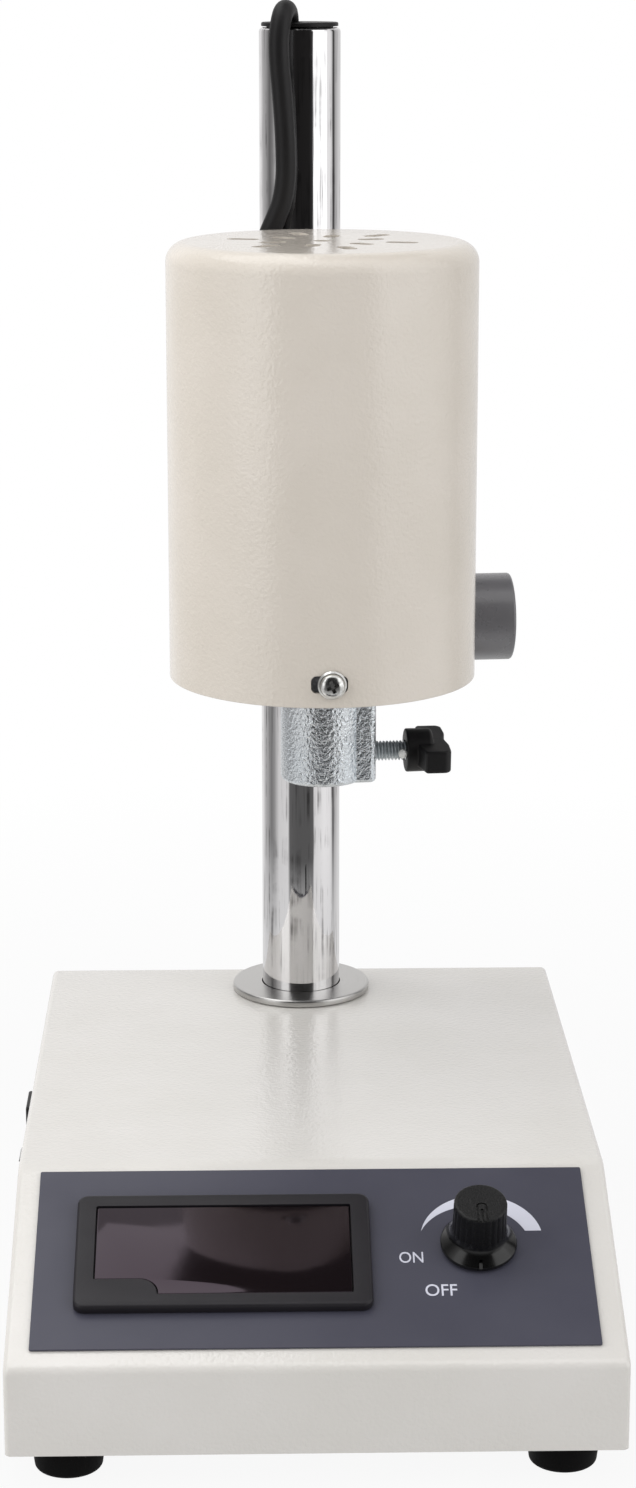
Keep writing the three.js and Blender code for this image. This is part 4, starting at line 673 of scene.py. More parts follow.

# %% [markdown]
# ## Putting a piece on the machine
# A piece needs a finish and a body that it moves with, and the plain nodes that it stands for are
# hidden. One helper does all of it. Nodes whose plain shape is already right keep their own mesh and
# only take a material.


# %% Helpers that dress pieces and nodes
def dress(obj, material, body, *nodes, slot, degrees=35):
    """Takes a piece from millimetres to the row's frame, and gives it a finish and a body. Edges
    sharper than the angle stay sharp."""
    obj.data.transform(TO_ROW)
    shade(obj, degrees)
    obj.data.materials.clear()
    obj.data.materials.append(material)
    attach(obj, body)
    if nodes:
        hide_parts(*nodes)
    return obj


def keep_nodes(material, *names):
    """Gives plain nodes a finish and leaves their meshes as they are."""
    for name in names:
        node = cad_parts[name]
        node.data.materials.clear()
        node.data.materials.append(material)


motor_cable.data.materials.append(cable_sheath)
keep_nodes(windings, "field_coil_front", "field_coil_rear", "armature")
keep_nodes(laminations, "stator_core", "transformer")
keep_nodes(aluminium, "heat_sink", "motor_lower_frame", "motor_upper_frame")
keep_nodes(aluminium, "potentiometer", "potentiometer_shaft")
keep_nodes(plated, "potentiometer_nut", "column_nut", "lower_bearing", "upper_bearing")
keep_nodes(plated, "motor_shaft", "drive_coupling")
keep_nodes(brass, "commutator", "brush_holder_left", "brush_holder_right")
keep_nodes(brass, "wing_screw_tip", "clamp_pad")
keep_nodes(carbon, "carbon_brush_left", "carbon_brush_right")
keep_nodes(laminate, "control_board", "meter_board")
keep_nodes(moulded_black, "cooling_fan")
keep_nodes(zinc_sheet, "base_plate")
keep_nodes(plated, *[f"foot_screw_{r}_{s}" for r in ("front", "rear") for s in ("left", "right")])
print("inner nodes dressed")

# %% [markdown]
# ## The base cover
# The cover is one folded steel sheet, painted after folding. Its side view is a polygon with a
# radius at each fold. Carrying that view across the machine gives the top, and near each side it is
# drawn in along a quarter round, because the sheet bends down there too. A solidify modifier gives
# the sheet its thickness, and the openings are then cut through it.

# %% Base cover
FOLD_RADIUS, BROW_RADIUS, SIDE_RADIUS, SHEET = 3.0, 20.0, 1.8, 1.5
METER_X, METER_S = -24.3, SLOPE_LENGTH / 2 + 1.2
KNOB_X, KNOB_S = 44.0, SLOPE_LENGTH / 2 + 4.05
METER = PANEL @ shift(METER_X, METER_S, 0)
KNOB = PANEL @ shift(KNOB_X, KNOB_S, 0)
INLET_X, INLET_Z = -48.6, 26.4
METER_CASE, SWITCH_BODY, INLET_CASE = (75, 38.6), (12.8, 19), (27.6, 20)
BUSH_HOLE, HOLE_GAP, PUNCH_REACH = 3.9, 0.6, 6

side_view = rounded(
    [(BASE_DEPTH, 0), (BASE_DEPTH, DECK_HEIGHT), (SLOPE_RUN, DECK_HEIGHT), (0, FRONT_HEIGHT), (0, 0)],
    [0, FOLD_RADIUS, BROW_RADIUS, FOLD_RADIUS, 0],
    steps=10,
)


def folded_sheet(name, view, width, bend, place, steps=6):
    """The side view carried across the width. On the last stretch of each side, x moves out by the
    bend times the sine and the view is drawn in by the bend times one minus the cosine. The view
    runs from rear to front, so its inner side is on its left."""
    low = view[:, 1] <= 0
    inwards = np.sign(view[:, 0].mean() - view[low, 0])
    bends = np.linspace(math.pi / 2, 0, steps + 1)
    rows = []
    for side, angle in [(-1, angle) for angle in bends] + [(1, angle) for angle in bends[::-1]]:
        inset = bend * (1 - math.cos(angle))
        shrunk = drawn_in(view, inset)
        shrunk[low] = np.c_[view[low, 0] + inwards * inset, view[low, 1]]
        x = side * (width / 2 - bend + bend * math.sin(angle))
        rows.append(np.c_[np.full(len(view), x), shrunk])
    faces = capped_faces(len(rows), len(view), wrapped=False)
    return mesh_object(name, np.concatenate(rows), faces, place)


def opening(outline, place, middle=0):
    """A punch that goes through the sheet and a little beyond."""
    return plate("punch", outline, middle - PUNCH_REACH, middle + PUNCH_REACH, place)


def case_opening(case, corner):
    return rectangle(case[0] + HOLE_GAP, case[1] + HOLE_GAP, corner)


cover = folded_sheet("cover_sheet", side_view, BASE_WIDTH, SIDE_RADIUS, BASE)
wall = cover.modifiers.new("sheet", "SOLIDIFY")
wall.thickness, wall.offset, wall.use_even_offset = SHEET, -1, True
weld(bake_modifiers(cover))
rear_face = BASE @ shift(INLET_X, BASE_DEPTH, INLET_Z) @ turn("X", 90)
cut(
    cover,
    opening(case_opening(METER_CASE, 1), METER),
    opening(circle(BUSH_HOLE, 32), KNOB),
    opening(case_opening(SWITCH_BODY, 0.5), SWITCH),
    opening(case_opening(INLET_CASE, 0.5), rear_face),
    opening(circle(COLUMN_RADIUS + 0.3, 64), COLUMN, DECK_HEIGHT),
)
dress(cover, enamel, "base", "base_cover", slot="cream_paint", degrees=30)
print("cover faces", len(cover.data.polygons))

# %% [markdown]
# ## Rubber feet
# Each foot is a moulded rubber puck with a rounded lower edge and a hole for its screw. It is a
# turned shape, and all four are the same, so a loop makes them.

# %% Feet
FOOT_HEIGHT, FOOT_TOP, FOOT_FROM_END, FOOT_FROM_SIDE = 10.3, 0.5, 16, 15.7
FOOT_LOW_RADIUS, FOOT_TOP_RADIUS, LOW_EDGE, TOP_EDGE = 8.9, 10.2, 1.3, 0.5
SCREW_HOLE, SCREW_WELL, WELL_TOP = 2.3, 4.1, -6.1
foot_outside = rounded(
    [(SCREW_WELL, -FOOT_HEIGHT), (FOOT_LOW_RADIUS, -FOOT_HEIGHT), (FOOT_TOP_RADIUS, FOOT_TOP),
     (SCREW_HOLE, FOOT_TOP)],
    [0, LOW_EDGE, TOP_EDGE, 0],
)
foot_hole = [(SCREW_HOLE, WELL_TOP), (SCREW_WELL, WELL_TOP), (SCREW_WELL, -FOOT_HEIGHT)]
foot_profile = np.vstack([foot_outside, foot_hole])
for row, y in (("front", FOOT_FROM_END), ("rear", BASE_DEPTH - FOOT_FROM_END)):
    for side, sign in (("left", -1), ("right", 1)):
        x = sign * (BASE_WIDTH / 2 - FOOT_FROM_SIDE)
        foot = turned(f"rubber_foot_{row}_{side}", foot_profile, BASE @ shift(x, y, 0), 96)
        dress(foot, foot_rubber, "base", f"foot_{row}_{side}", slot="black_rubber")
print("feet done")

# %% [markdown]
# ## The motor housing
# The housing is a drawn steel can, open below, painted like the base. Its section is turned about
# the motor's axis with a rounded shoulder at the top. Cooling slots are punched in two rings round
# a centre hole, and three short slots near the lower edge each show a screw.

# %% Motor housing
CAN_RADIUS, CAN_WALL, CAN_BOTTOM, CAN_TOP, CAN_SHOULDER = 44.9, 1.5, 170.6, 297.2, 5.8
CAN_ROOF, ROOF_REACH, WALL_REACH = 2, 3, 5
SLOT_RISE, HOUSING_TURN = 6.8, -3.6
UPPER_HEIGHT, UPPER_ANGLE, UPPER_HOLE = 265.4, 111, 1.7
VENT_WIDTH, VENT_CENTRE_RADIUS, CAN_EDGE = 4.5, 2.5, 0.35
SCREW_SLOT = (10.4, 5.0, 1.6)
# Each ring of vents by its count, its radius, the length of a slot, and the angle it starts at
VENT_RINGS = ((6, 14.8, 8.0, 13.2), (6, 23.3, 9.5, -19.1))
NOTCH_WIDTH, NOTCH_DEPTH, NOTCH_TOP, NOTCH_IN = 30.6, 40, 13.3, 10

inner, roof = CAN_RADIUS - CAN_WALL, CAN_TOP - CAN_ROOF
can_inside = rounded(
    [(0, roof), (inner, roof), (inner, CAN_BOTTOM)], [0, CAN_SHOULDER - CAN_WALL, 0], 10
)
can_outside = rounded(
    [(inner, CAN_BOTTOM), (CAN_RADIUS, CAN_BOTTOM), (CAN_RADIUS, CAN_TOP), (0, CAN_TOP)],
    [0, CAN_EDGE, CAN_SHOULDER, 0],
    14,
)
can = turned("housing_can", np.vstack([can_inside, can_outside]), MOTOR, 192)


def slot_tool(length, width, low, high, place):
    """A punch with round ends, its length along X."""
    return plate("punch", rectangle(length, width, width / 2 - 0.01, 12), low, high, place)


def out_of_can(angle, height):
    """The matrix of what sits in the can's side, whose own Z lies along a radius of the can."""
    return MOTOR @ turn("Z", HOUSING_TURN + angle) @ shift(0, 0, height) @ turn("X", 90)


def side_punch(outline, place):
    return plate("punch", outline, inner - WALL_REACH, CAN_RADIUS + WALL_REACH, place)


punches = [plate("punch", circle(VENT_CENTRE_RADIUS, 32), roof - ROOF_REACH, CAN_TOP + ROOF_REACH, MOTOR)]
for count, distance, length, start in VENT_RINGS:
    for i in range(count):
        place = MOTOR @ turn("Z", start + i * 360 / count) @ shift(distance, 0, 0)
        punches.append(slot_tool(length, VENT_WIDTH, roof - ROOF_REACH, CAN_TOP + ROOF_REACH, place))
for i in range(3):
    slot_place = out_of_can(i * 120, CAN_BOTTOM + SLOT_RISE)
    punches.append(side_punch(rectangle(*SCREW_SLOT), slot_place))
for sign in (-1, 1):
    punches.append(side_punch(circle(UPPER_HOLE, 24), out_of_can(sign * UPPER_ANGLE, UPPER_HEIGHT)))
notch_place = MOTOR @ shift(0, CAN_RADIUS - NOTCH_IN, 0)
notch_outline = rectangle(NOTCH_WIDTH, NOTCH_DEPTH, 0.5)
notch_low, notch_top = CAN_BOTTOM - WALL_REACH, CAN_BOTTOM + NOTCH_TOP
punches.append(plate("punch", notch_outline, notch_low, notch_top, notch_place))
cut(can, *punches)
dress(can, cream_enamel, "head", "motor_housing", slot="cream_paint", degrees=32)
print("can faces", len(can.data.polygons))

# %% [markdown]
# ## Column, flange and cap
# The column is chromed tube with a small chamfer at its top. It stands in a flange that was turned
# on a lathe, so the flange shows fine rings, and a black plastic cap closes it, with a round-ended
# hole for the cable.

# %% Column, flange and cap
COLUMN_BORE, COLUMN_FOOT, CHAMFER_WIDTH, CHAMFER_HEIGHT, SEAT_GAP = 10.3, 32, 1.0, 1.2, 0.3
column_profile = [
    (COLUMN_BORE, COLUMN_FOOT), (COLUMN_RADIUS, COLUMN_FOOT),
    (COLUMN_RADIUS, COLUMN_TOP - CHAMFER_HEIGHT),
    (COLUMN_RADIUS - CHAMFER_WIDTH / 5, COLUMN_TOP - CHAMFER_HEIGHT / 2),
    (COLUMN_RADIUS - CHAMFER_WIDTH, COLUMN_TOP), (COLUMN_BORE, COLUMN_TOP),
    (COLUMN_BORE, COLUMN_FOOT),
]
column = turned("chromed_column", column_profile, COLUMN, 128)
dress(column, chrome, "base", "column_tube", slot="chrome_tube", degrees=25)

FLANGE_BORE, FLANGE_RADIUS, FLANGE_THICK = 12.6, 21.8, 2.1
FLANGE_LOW = DECK_HEIGHT + SEAT_GAP
FLANGE_TOP = FLANGE_LOW + FLANGE_THICK
flange_outside = rounded(
    [(FLANGE_BORE, FLANGE_LOW), (FLANGE_RADIUS, FLANGE_LOW), (FLANGE_RADIUS, FLANGE_TOP),
     (FLANGE_BORE, FLANGE_TOP)],
    [0, 0.3, 0.7, 0],
    6,
)
flange_profile = np.vstack([flange_outside, [(FLANGE_BORE, FLANGE_LOW)]])
flange = turned("turned_flange", flange_profile, COLUMN, 160)
dress(flange, turned_metal, "base", "column_flange", slot="turned_flange")

CAP_RADIUS, CAP_THICK, PLUG_RADIUS, PLUG_LENGTH = 11.6, 1.2, 10.0, 8
CABLE_SLOT_WIDTH, CABLE_SLOT_LENGTH, CABLE_SLOT_X, CABLE_SLOT_Y = 8.0, 12.8, -3.4, -3.0
CAP_LOW = COLUMN_TOP + SEAT_GAP
CAP_TOP, PLUG_LOW = CAP_LOW + CAP_THICK, CAP_LOW - PLUG_LENGTH
cap_profile = rounded(
    [(0, PLUG_LOW), (PLUG_RADIUS, PLUG_LOW), (PLUG_RADIUS, CAP_LOW), (CAP_RADIUS, CAP_LOW),
     (CAP_RADIUS, CAP_TOP), (0, CAP_TOP)],
    [0, 0.5, 0, 0.2, 0.5, 0],
    5,
)
cap = turned("column_plug", cap_profile, COLUMN, 128)
slot_outline = rectangle(CABLE_SLOT_WIDTH, CABLE_SLOT_LENGTH, CABLE_SLOT_WIDTH / 2 - 0.01, 12)
slot_place = COLUMN @ shift(CABLE_SLOT_X, CABLE_SLOT_Y, 0)
cut(cap, plate("punch", slot_outline, PLUG_LOW - PUNCH_REACH, CAP_TOP + PUNCH_REACH, slot_place))
dress(cap, moulded_black, "swivel", "column_cap", slot="black_plastic")
print("column done")

# %% [markdown]
# ## Screws
# The housing's screws are bright, with a pan head, a cross recess and a washer. Two smaller dark
# ones sit higher up. A turned profile gives each screw, two crossed bars cut its recess, and a
# matrix lays it along the radius that it points out of.


# %% Housing screws
RECESS_LENGTH_SHARE, RECESS_WIDTH_SHARE, RECESS_DEPTH_SHARE, EDGE_SHARE = 1.06, 0.3, 1.2, 0.35
RECESS_ANGLES, WASHER_CHAMFER, CHAMFER_SHARE = (20, 110), 0.5, 0.4
# A screw's stem radius and length, its head's radius and height, and its washer's radius and thickness
BRIGHT_SCREW = (1.8, 9, 3.45, 2.3, (4.1, 0.9))
DARK_SCREW = (1.4, 7, 3.1, 2.0, (0, 0))


def screw(name, place, seat, stem_radius, stem, head_radius, head, washer):
    """A screw standing on Z with its seat at a height. The head's crown is a quarter ellipse: its
    radius goes with the cosine and its height with the sine."""
    head_low = seat + washer[1]
    head_top = head_low + head
    arc = np.linspace(0, math.pi / 2, 10)
    rise = EDGE_SHARE + (1 - EDGE_SHARE) * np.sin(arc)
    crown = np.stack([head_radius * np.cos(arc), head_low + head * rise], 1)
    profile = [(0, seat - stem), (stem_radius, seat - stem), (stem_radius, seat)]
    if washer[1]:
        profile += [(washer[0], seat), (washer[0], seat + CHAMFER_SHARE * washer[1])]
        profile += [(washer[0] - WASHER_CHAMFER, head_low)]
    profile.append((head_radius, head_low))
    body = turned(name, np.vstack([profile, crown]), place, 48)
    bar = rectangle(head_radius * RECESS_LENGTH_SHARE, head_radius * RECESS_WIDTH_SHARE, 0.1, 3)
    bars = [
        plate("bar", bar, head_top - head * RECESS_DEPTH_SHARE, head_top + 2, place @ turn("Z", angle))
        for angle in RECESS_ANGLES
    ]
    return cut(body, *bars)


SCREW_SEAT = CAN_RADIUS + SEAT_GAP
HOUSING_SCREWS = (("front", 0.9), ("right", 120), ("left", 240))
for name, angle in HOUSING_SCREWS:
    place = out_of_can(angle, CAN_BOTTOM + SLOT_RISE)
    piece = screw(f"bright_screw_{name}", place, SCREW_SEAT, *BRIGHT_SCREW)
    dress(piece, polished, "head", f"housing_screw_{name}", slot="plated_steel")
for name, sign in (("left", -1), ("right", 1)):
    place = out_of_can(sign * UPPER_ANGLE, UPPER_HEIGHT)
    piece = screw(f"dark_screw_{name}", place, SCREW_SEAT, *DARK_SCREW)
    dress(piece, blackened, "head", f"upper_screw_{name}", slot="black_screw")
print("screws done")

# %% [markdown]
# ## The tool socket
# The socket under the housing takes the shank of a dispersing tool. It is a casting: a round boss
# with a squared lug on its right, where the wing screw goes through. In plan its outline is the
# larger of two radii, that of the circle and that of the lug, worked out for each angle. The
# outline is stacked, and a turned tool then cuts the bore.

# %% Tool socket
SOCKET_RADIUS, SOCKET_HEIGHT, SOCKET_RISE, SOCKET_EDGE = 12.3, 31.9, 0.1, 1.3
LUG_REACH, LUG_HALF, LUG_CORNER = 15.3, 8.1, 2.0
SOCKET_TOP = CAN_BOTTOM + SOCKET_RISE
SOCKET_BOTTOM = SOCKET_TOP - SOCKET_HEIGHT
MOUTH_RADIUS, MOUTH_DEPTH, BORE_RADIUS, NECK_RADIUS, NECK_LENGTH = 9.5, 1, 8.5, 7.4, 4
BORE_REACH, WING_RISE, WING_HOLE = 5, 7.8, 3.25


def socket_outline(count=288):
    """Radius by angle. The lug's flat sides lie at its reach over the cosine and its half width over
    the sine, and its corner is where the ray from the axis leaves the corner's circle. The outline
    is the boss's circle wherever that is larger."""
    angles = np.arange(count) * 2 * math.pi / count
    c, s = np.cos(angles), np.abs(np.sin(angles))
    flat = np.minimum(LUG_REACH / np.maximum(c, 1e-3), LUG_HALF / np.maximum(s, 1e-3))
    corner = np.array([LUG_REACH - LUG_CORNER, LUG_HALF - LUG_CORNER])
    along = corner[0] * c + corner[1] * s
    inside = np.maximum(along**2 - corner @ corner + LUG_CORNER**2, 0)
    at_corner = (flat * c > corner[0]) & (flat * s > corner[1])
    reach = np.where(at_corner, along + np.sqrt(inside), flat)
    radius = np.maximum(SOCKET_RADIUS, np.where(c > 0, reach, 0))
    return radius[:, None] * np.stack([np.cos(angles), np.sin(angles)], 1)


boss = plate("socket_casting", socket_outline(), SOCKET_BOTTOM, SOCKET_TOP, MOTOR, SOCKET_EDGE)
along_screw = MOTOR @ shift(0, 0, SOCKET_BOTTOM + WING_RISE) @ turn("Y", 90)
bore_profile = [
    (0, SOCKET_BOTTOM - BORE_REACH), (MOUTH_RADIUS, SOCKET_BOTTOM - BORE_REACH),
    (MOUTH_RADIUS, SOCKET_BOTTOM), (BORE_RADIUS, SOCKET_BOTTOM + MOUTH_DEPTH),
    (BORE_RADIUS, SOCKET_TOP - NECK_LENGTH), (NECK_RADIUS, SOCKET_TOP - NECK_LENGTH),
    (NECK_RADIUS, SOCKET_TOP + BORE_REACH), (0, SOCKET_TOP + BORE_REACH),
]
screw_hole = plate("screw_hole", circle(WING_HOLE, 32), 0, LUG_REACH + BORE_REACH, along_screw)
cut(boss, turned("bore", bore_profile, MOTOR, 96), screw_hole)
dress(boss, socket_cast, "head", "tool_socket", slot="zinc_casting")
print("socket faces", len(boss.data.polygons))

# %% [markdown]
# ## The wing screw
# A moulded black knob with two wings turns an M6 screw that grips the tool's shank. The threads are
# worth showing, because they are seen between the lug and the knob: the radius rises and falls
# along the screw, and the phase of that wave turns once round the screw, which makes a helix. The
# hub and the wings are joined, and a remesh and a light smoothing blend them as a mould does.


# %% Threaded studs
def threaded(name, radius, depth, pitch, start, end, place, around=48):
    """A screw along Z. The radius is the outside radius less the depth times a rounded wave whose
    phase is height over pitch less angle over one turn. The wave fades out at both ends."""
    rows = int((end - start) / pitch * 12)
    z = np.linspace(start, end, rows)[:, None]
    angle = (np.arange(around) * 2 * math.pi / around)[None, :]
    wave = 0.5 - 0.5 * np.cos(2 * math.pi * (z / pitch) - angle)
    lead_in = np.clip(np.minimum(z - start, end - z) / pitch, 0, 1)
    r = radius - depth * (1 - lead_in * (1 - wave**1.4))
    points = np.stack([r * np.cos(angle), r * np.sin(angle), z + 0 * angle], -1)
    return mesh_object(name, points.reshape(-1, 3), capped_faces(rows, around), place)


wing_stud = threaded(
    "wing_stud", radius=2.95, depth=0.62, pitch=1.0, start=11.3, end=33.8, place=along_screw
)
dress(wing_stud, plated, "wing_screw", "wing_screw_stud", slot="plated_steel", degrees=60)
CLAMP_RISE = 3
along_clamp = HEAD @ shift(0, 0, CAN_BOTTOM + CLAMP_RISE) @ turn("Y", 90)
clamp_stud = threaded(
    "clamp_stud_thread", radius=4.0, depth=0.65, pitch=1.25, start=15.9, end=53.0, place=along_clamp
)
dress(clamp_stud, plated, "clamp_knob", "clamp_stud", slot="plated_steel", degrees=60)
print("studs done")

# %% Wing knob
HUB_START, HUB_RADIUS, HUB_LENGTH, HUB_BORE, HUB_BORE_DEPTH = 24.8, 6.5, 8, 3.2, 9.4
WING_END, WING_HALF, WING_THICK, WING_EDGE, WING_TILT = 37.1, 12.5, 6.8, 0.6, 5
ROOT_HALF, ROOT_RISE, SHOULDER_RISE = 6.2, 3.2, 4.8
CREST_HALF, CREST_RISE, DIP = 5.5, 0.2, 0.6
VOXEL, BALL_BESIDE, BALL_AHEAD = 0.25, 4.5, 1.2
wing_place = along_screw @ turn("Z", 90 + WING_TILT)
hub_profile = rounded(
    [(0, HUB_START), (HUB_RADIUS, HUB_START), (HUB_RADIUS - 0.1, HUB_START + HUB_LENGTH),
     (0, HUB_START + HUB_LENGTH)],
    [0, 0.5, 1.2, 0],
)
hub = turned("wing_hub", hub_profile, wing_place, 64)
half_view = [
    (ROOT_HALF, HUB_START + ROOT_RISE), (WING_HALF, HUB_START + SHOULDER_RISE),
    (WING_HALF, WING_END), (CREST_HALF, WING_END + CREST_RISE),
]
mirrored = [(-x, y) for x, y in half_view[::-1]]
half_radii = [1.0, 0.9, 2.2, 2.5]
wing_radii = half_radii + [5.0] + half_radii[::-1]
wing_view = rounded(half_view + [(0, WING_END - DIP)] + mirrored, wing_radii, 8, closed=True)
wing_side = wing_place @ turn("X", 90)
join(hub, plate("wings", wing_view, -WING_THICK / 2, WING_THICK / 2, wing_side, WING_EDGE, WING_EDGE))
remesh = hub.modifiers.new("remesh", "REMESH")
remesh.mode, remesh.voxel_size = "VOXEL", VOXEL
soft = hub.modifiers.new("smooth", "SMOOTH")
soft.factor, soft.iterations = 0.5, 2
bake_modifiers(hub)
cut(hub, plate("bore", circle(HUB_BORE, 24), HUB_START - 3, HUB_START + HUB_BORE_DEPTH, wing_place))
dress(hub, moulded_black, "wing_screw", "wing_screw_knob", slot="black_plastic", degrees=60)
# A small pale ball of unknown kind sits on the stud beside the hub.
ball_profile = [(0, -1.4), (0.7, -1.21), (1.21, -0.7), (1.4, 0), (1.21, 0.7), (0.7, 1.21), (0, 1.4)]
ball_place = along_screw @ shift(0, -BALL_BESIDE, HUB_START - BALL_AHEAD)
ball = turned("white_ball", ball_profile, ball_place, 32)
dress(ball, ball_white, "wing_screw", slot="black_plastic")
print("wing knob faces", len(hub.data.polygons))

# %% [markdown]
# ## Bracket, gland and clamp
# Inside the housing's lower end is a cast plate that carries the motor. An arm joins it to a collar
# on the column, and a large grey knob on the right clamps the collar. These are cast in one piece,
# so the shapes are joined into one mesh before the bores are cut, and every edge is then rounded.

# %% Bracket
PLATE_LOW, PLATE_TOP, PLATE_RADIUS = CAN_BOTTOM + 0.4, CAN_BOTTOM + 13, 42.9
COLLAR_LOW, COLLAR_TOP, COLLAR_RADIUS, COLLAR_BORE = CAN_BOTTOM - 15.6, CAN_BOTTOM + 24.4, 20, 12.6
BOSS_RADIUS, BOSS_END, BOSS_BORE = 9, 31, 4.3
SHELF_LOW, SHELF_RADIUS, GLAND_HOLE = COLLAR_TOP - 11, 9.7, 4.1
BEARING_RADIUS, SHAFT_HOLE, TAPPED_RADIUS = 11.15, 6.15, 2.1
ARM_WIDTH, ARM_REACH, ARM_INSET, CAN_ROOM, BRACKET_EDGE = 30, 49.9, 0.02, 45.5, 0.6
PLATE_SLOT, PLATE_SLOT_RADIUS, TAPPED_START, TAPPED_END = (11, 7), 29.2, 35.6, 50
GLAND_X, GLAND_Y, SEAT_FLOOR, CLEAR = -20.48, -14.44, 3, 2
gland_place = HEAD @ shift(GLAND_X, GLAND_Y, 0)
bracket = plate("bracket_collar", circle(COLLAR_RADIUS, 128), COLLAR_LOW, COLLAR_TOP, HEAD)
join(
    bracket,
    plate("boss", circle(BOSS_RADIUS, 64), 0, BOSS_END, along_clamp),
    plate("shelf", circle(SHELF_RADIUS, 64), SHELF_LOW, COLLAR_TOP, gland_place),
)
cut(bracket, plate("room", circle(CAN_ROOM, 192), CAN_BOTTOM - SEAT_GAP, COLLAR_TOP + CLEAR, MOTOR))
arm_place = HEAD @ shift(0, -ARM_LENGTH / 2, 0)
arm_outline = rectangle(ARM_WIDTH, ARM_REACH, 0.2, 1)
join(
    bracket,
    plate("end_plate", circle(PLATE_RADIUS, 160), PLATE_LOW, PLATE_TOP, MOTOR),
    plate("arm", arm_outline, PLATE_LOW + ARM_INSET, PLATE_TOP - ARM_INSET, arm_place),
)
tools = [
    plate("bore", circle(COLLAR_BORE, 96), COLLAR_LOW - CLEAR, COLLAR_TOP + CLEAR, HEAD),
    plate("screw_hole", circle(BOSS_BORE, 48), 0, BOSS_END + CLEAR, along_clamp),
    plate("gland_hole", circle(GLAND_HOLE, 40), SHELF_LOW - CLEAR, COLLAR_TOP + CLEAR, gland_place),
    plate("bearing_seat", circle(BEARING_RADIUS, 64), PLATE_LOW + SEAT_FLOOR, PLATE_TOP + CLEAR, MOTOR),
    plate("shaft_hole", circle(SHAFT_HOLE, 48), PLATE_LOW - CLEAR, PLATE_LOW + SEAT_FLOOR + 1, MOTOR),
]
for i in range(4):
    place = MOTOR @ turn("Z", 45 + i * 90) @ shift(PLATE_SLOT_RADIUS, 0, 0)
    tools.append(slot_tool(*PLATE_SLOT, PLATE_LOW - CLEAR, PLATE_TOP + CLEAR, place))
for _, angle in HOUSING_SCREWS:
    place = out_of_can(angle, CAN_BOTTOM + SLOT_RISE)
    tools.append(plate("tapped", circle(TAPPED_RADIUS, 24), TAPPED_START, TAPPED_END, place))
cut(bracket, *tools)
soften(bracket, BRACKET_EDGE, degrees=40)
dress(bracket, bracket_cast_painted_shade, "head", "head_bracket", slot="zinc_casting")
print("bracket faces", len(bracket.data.polygons))

# %% Clamp knob and cable gland
GRIP_START, GRIP_END, GRIP_RADIUS = 39.0, 66.4, 13.65
NECK, NECK_END, GRIP_BORE, GRIP_BORE_DEPTH = 8, GRIP_START + 4, 4.15, 14.3
clamp_profile = rounded(
    [(0, GRIP_START), (NECK, GRIP_START), (NECK, NECK_END), (GRIP_RADIUS, NECK_END),
     (GRIP_RADIUS, GRIP_END), (0, GRIP_END)],
    [0, 0.6, 0.3, 0.8, 0.9, 0],
    8,
)
clamp = turned("clamp_grip", clamp_profile, along_clamp, 128)
bore_low, bore_end = GRIP_START - CLEAR, GRIP_START + GRIP_BORE_DEPTH
cut(clamp, plate("bore", circle(GRIP_BORE, 40), bore_low, bore_end, along_clamp))
dress(clamp, knob_grey, "clamp_knob", "clamp_knob", slot="grey_plastic")

GLAND_LOW, GLAND_RADIUS, GLAND_HEX = COLLAR_TOP + SEAT_GAP, 6, 5
NOSE_LOW, NOSE_TOP, CABLE_WAY, CABLE_WAY_LOW = GLAND_LOW + 4.7, GLAND_LOW + 9, 3.4, 0.4
NOSE_RADIUS, NOSE_SHOULDER, NOSE_TIP, THREAD_RADIUS, THREAD_LENGTH = 5.7, 5.6, 4.6, 3.95, 8
gland = plate("gland_body", circle(GLAND_RADIUS, 6), GLAND_LOW, GLAND_LOW + GLAND_HEX, gland_place, 0.4, 0.4)
nose_profile = rounded(
    [(0, NOSE_LOW), (NOSE_RADIUS, NOSE_LOW), (NOSE_SHOULDER, GLAND_LOW + GLAND_HEX + 1),
     (NOSE_TIP, NOSE_TOP), (0, NOSE_TOP)],
    [0, 0, 0.8, 0.6, 0],
)
join(
    gland,
    turned("nose", nose_profile, gland_place, 64),
    plate("thread", circle(THREAD_RADIUS, 40), GLAND_LOW - THREAD_LENGTH, GLAND_LOW + 0.3, gland_place),
)
way_low, way_end = GLAND_LOW + CABLE_WAY_LOW, NOSE_TOP + CLEAR
cut(gland, plate("way", circle(CABLE_WAY, 32), way_low, way_end, gland_place))
dress(gland, moulded_black, "head", "cable_gland", slot="black_plastic")
print("clamp and gland done")

# %% [markdown]
# ## The control panel
# A slate-grey printed film covers the slope. It carries a rising dial mark round the speed knob and
# the two plain words of a switch. Print is a film of ink a few hundredths of a millimetre thick, so
# each mark is a very thin piece lying on the film.

# %% Panel film
FILM_LOW, FILM_TOP, FILM_EDGE, INK = 0.3, 0.8, 0.12, 0.06
FILM_SIDES, FILM_ENDS = 13.5, 9.9
FILM_X, FILM_S = -0.25, SLOPE_LENGTH / 2 + 1.05
film_outline = rectangle(BASE_WIDTH - FILM_SIDES, SLOPE_LENGTH - FILM_ENDS, 0.5, 4)
film_place = PANEL @ shift(FILM_X, FILM_S, 0)
film = plate("panel_film", film_outline, FILM_LOW, FILM_TOP, film_place, 0, FILM_EDGE)
cut(film, opening(case_opening(METER_CASE, 1), METER), opening(circle(BUSH_HOLE, 32), KNOB))
dress(film, overlay_film, "base", "control_panel", slot="slate_overlay")
print("film done")


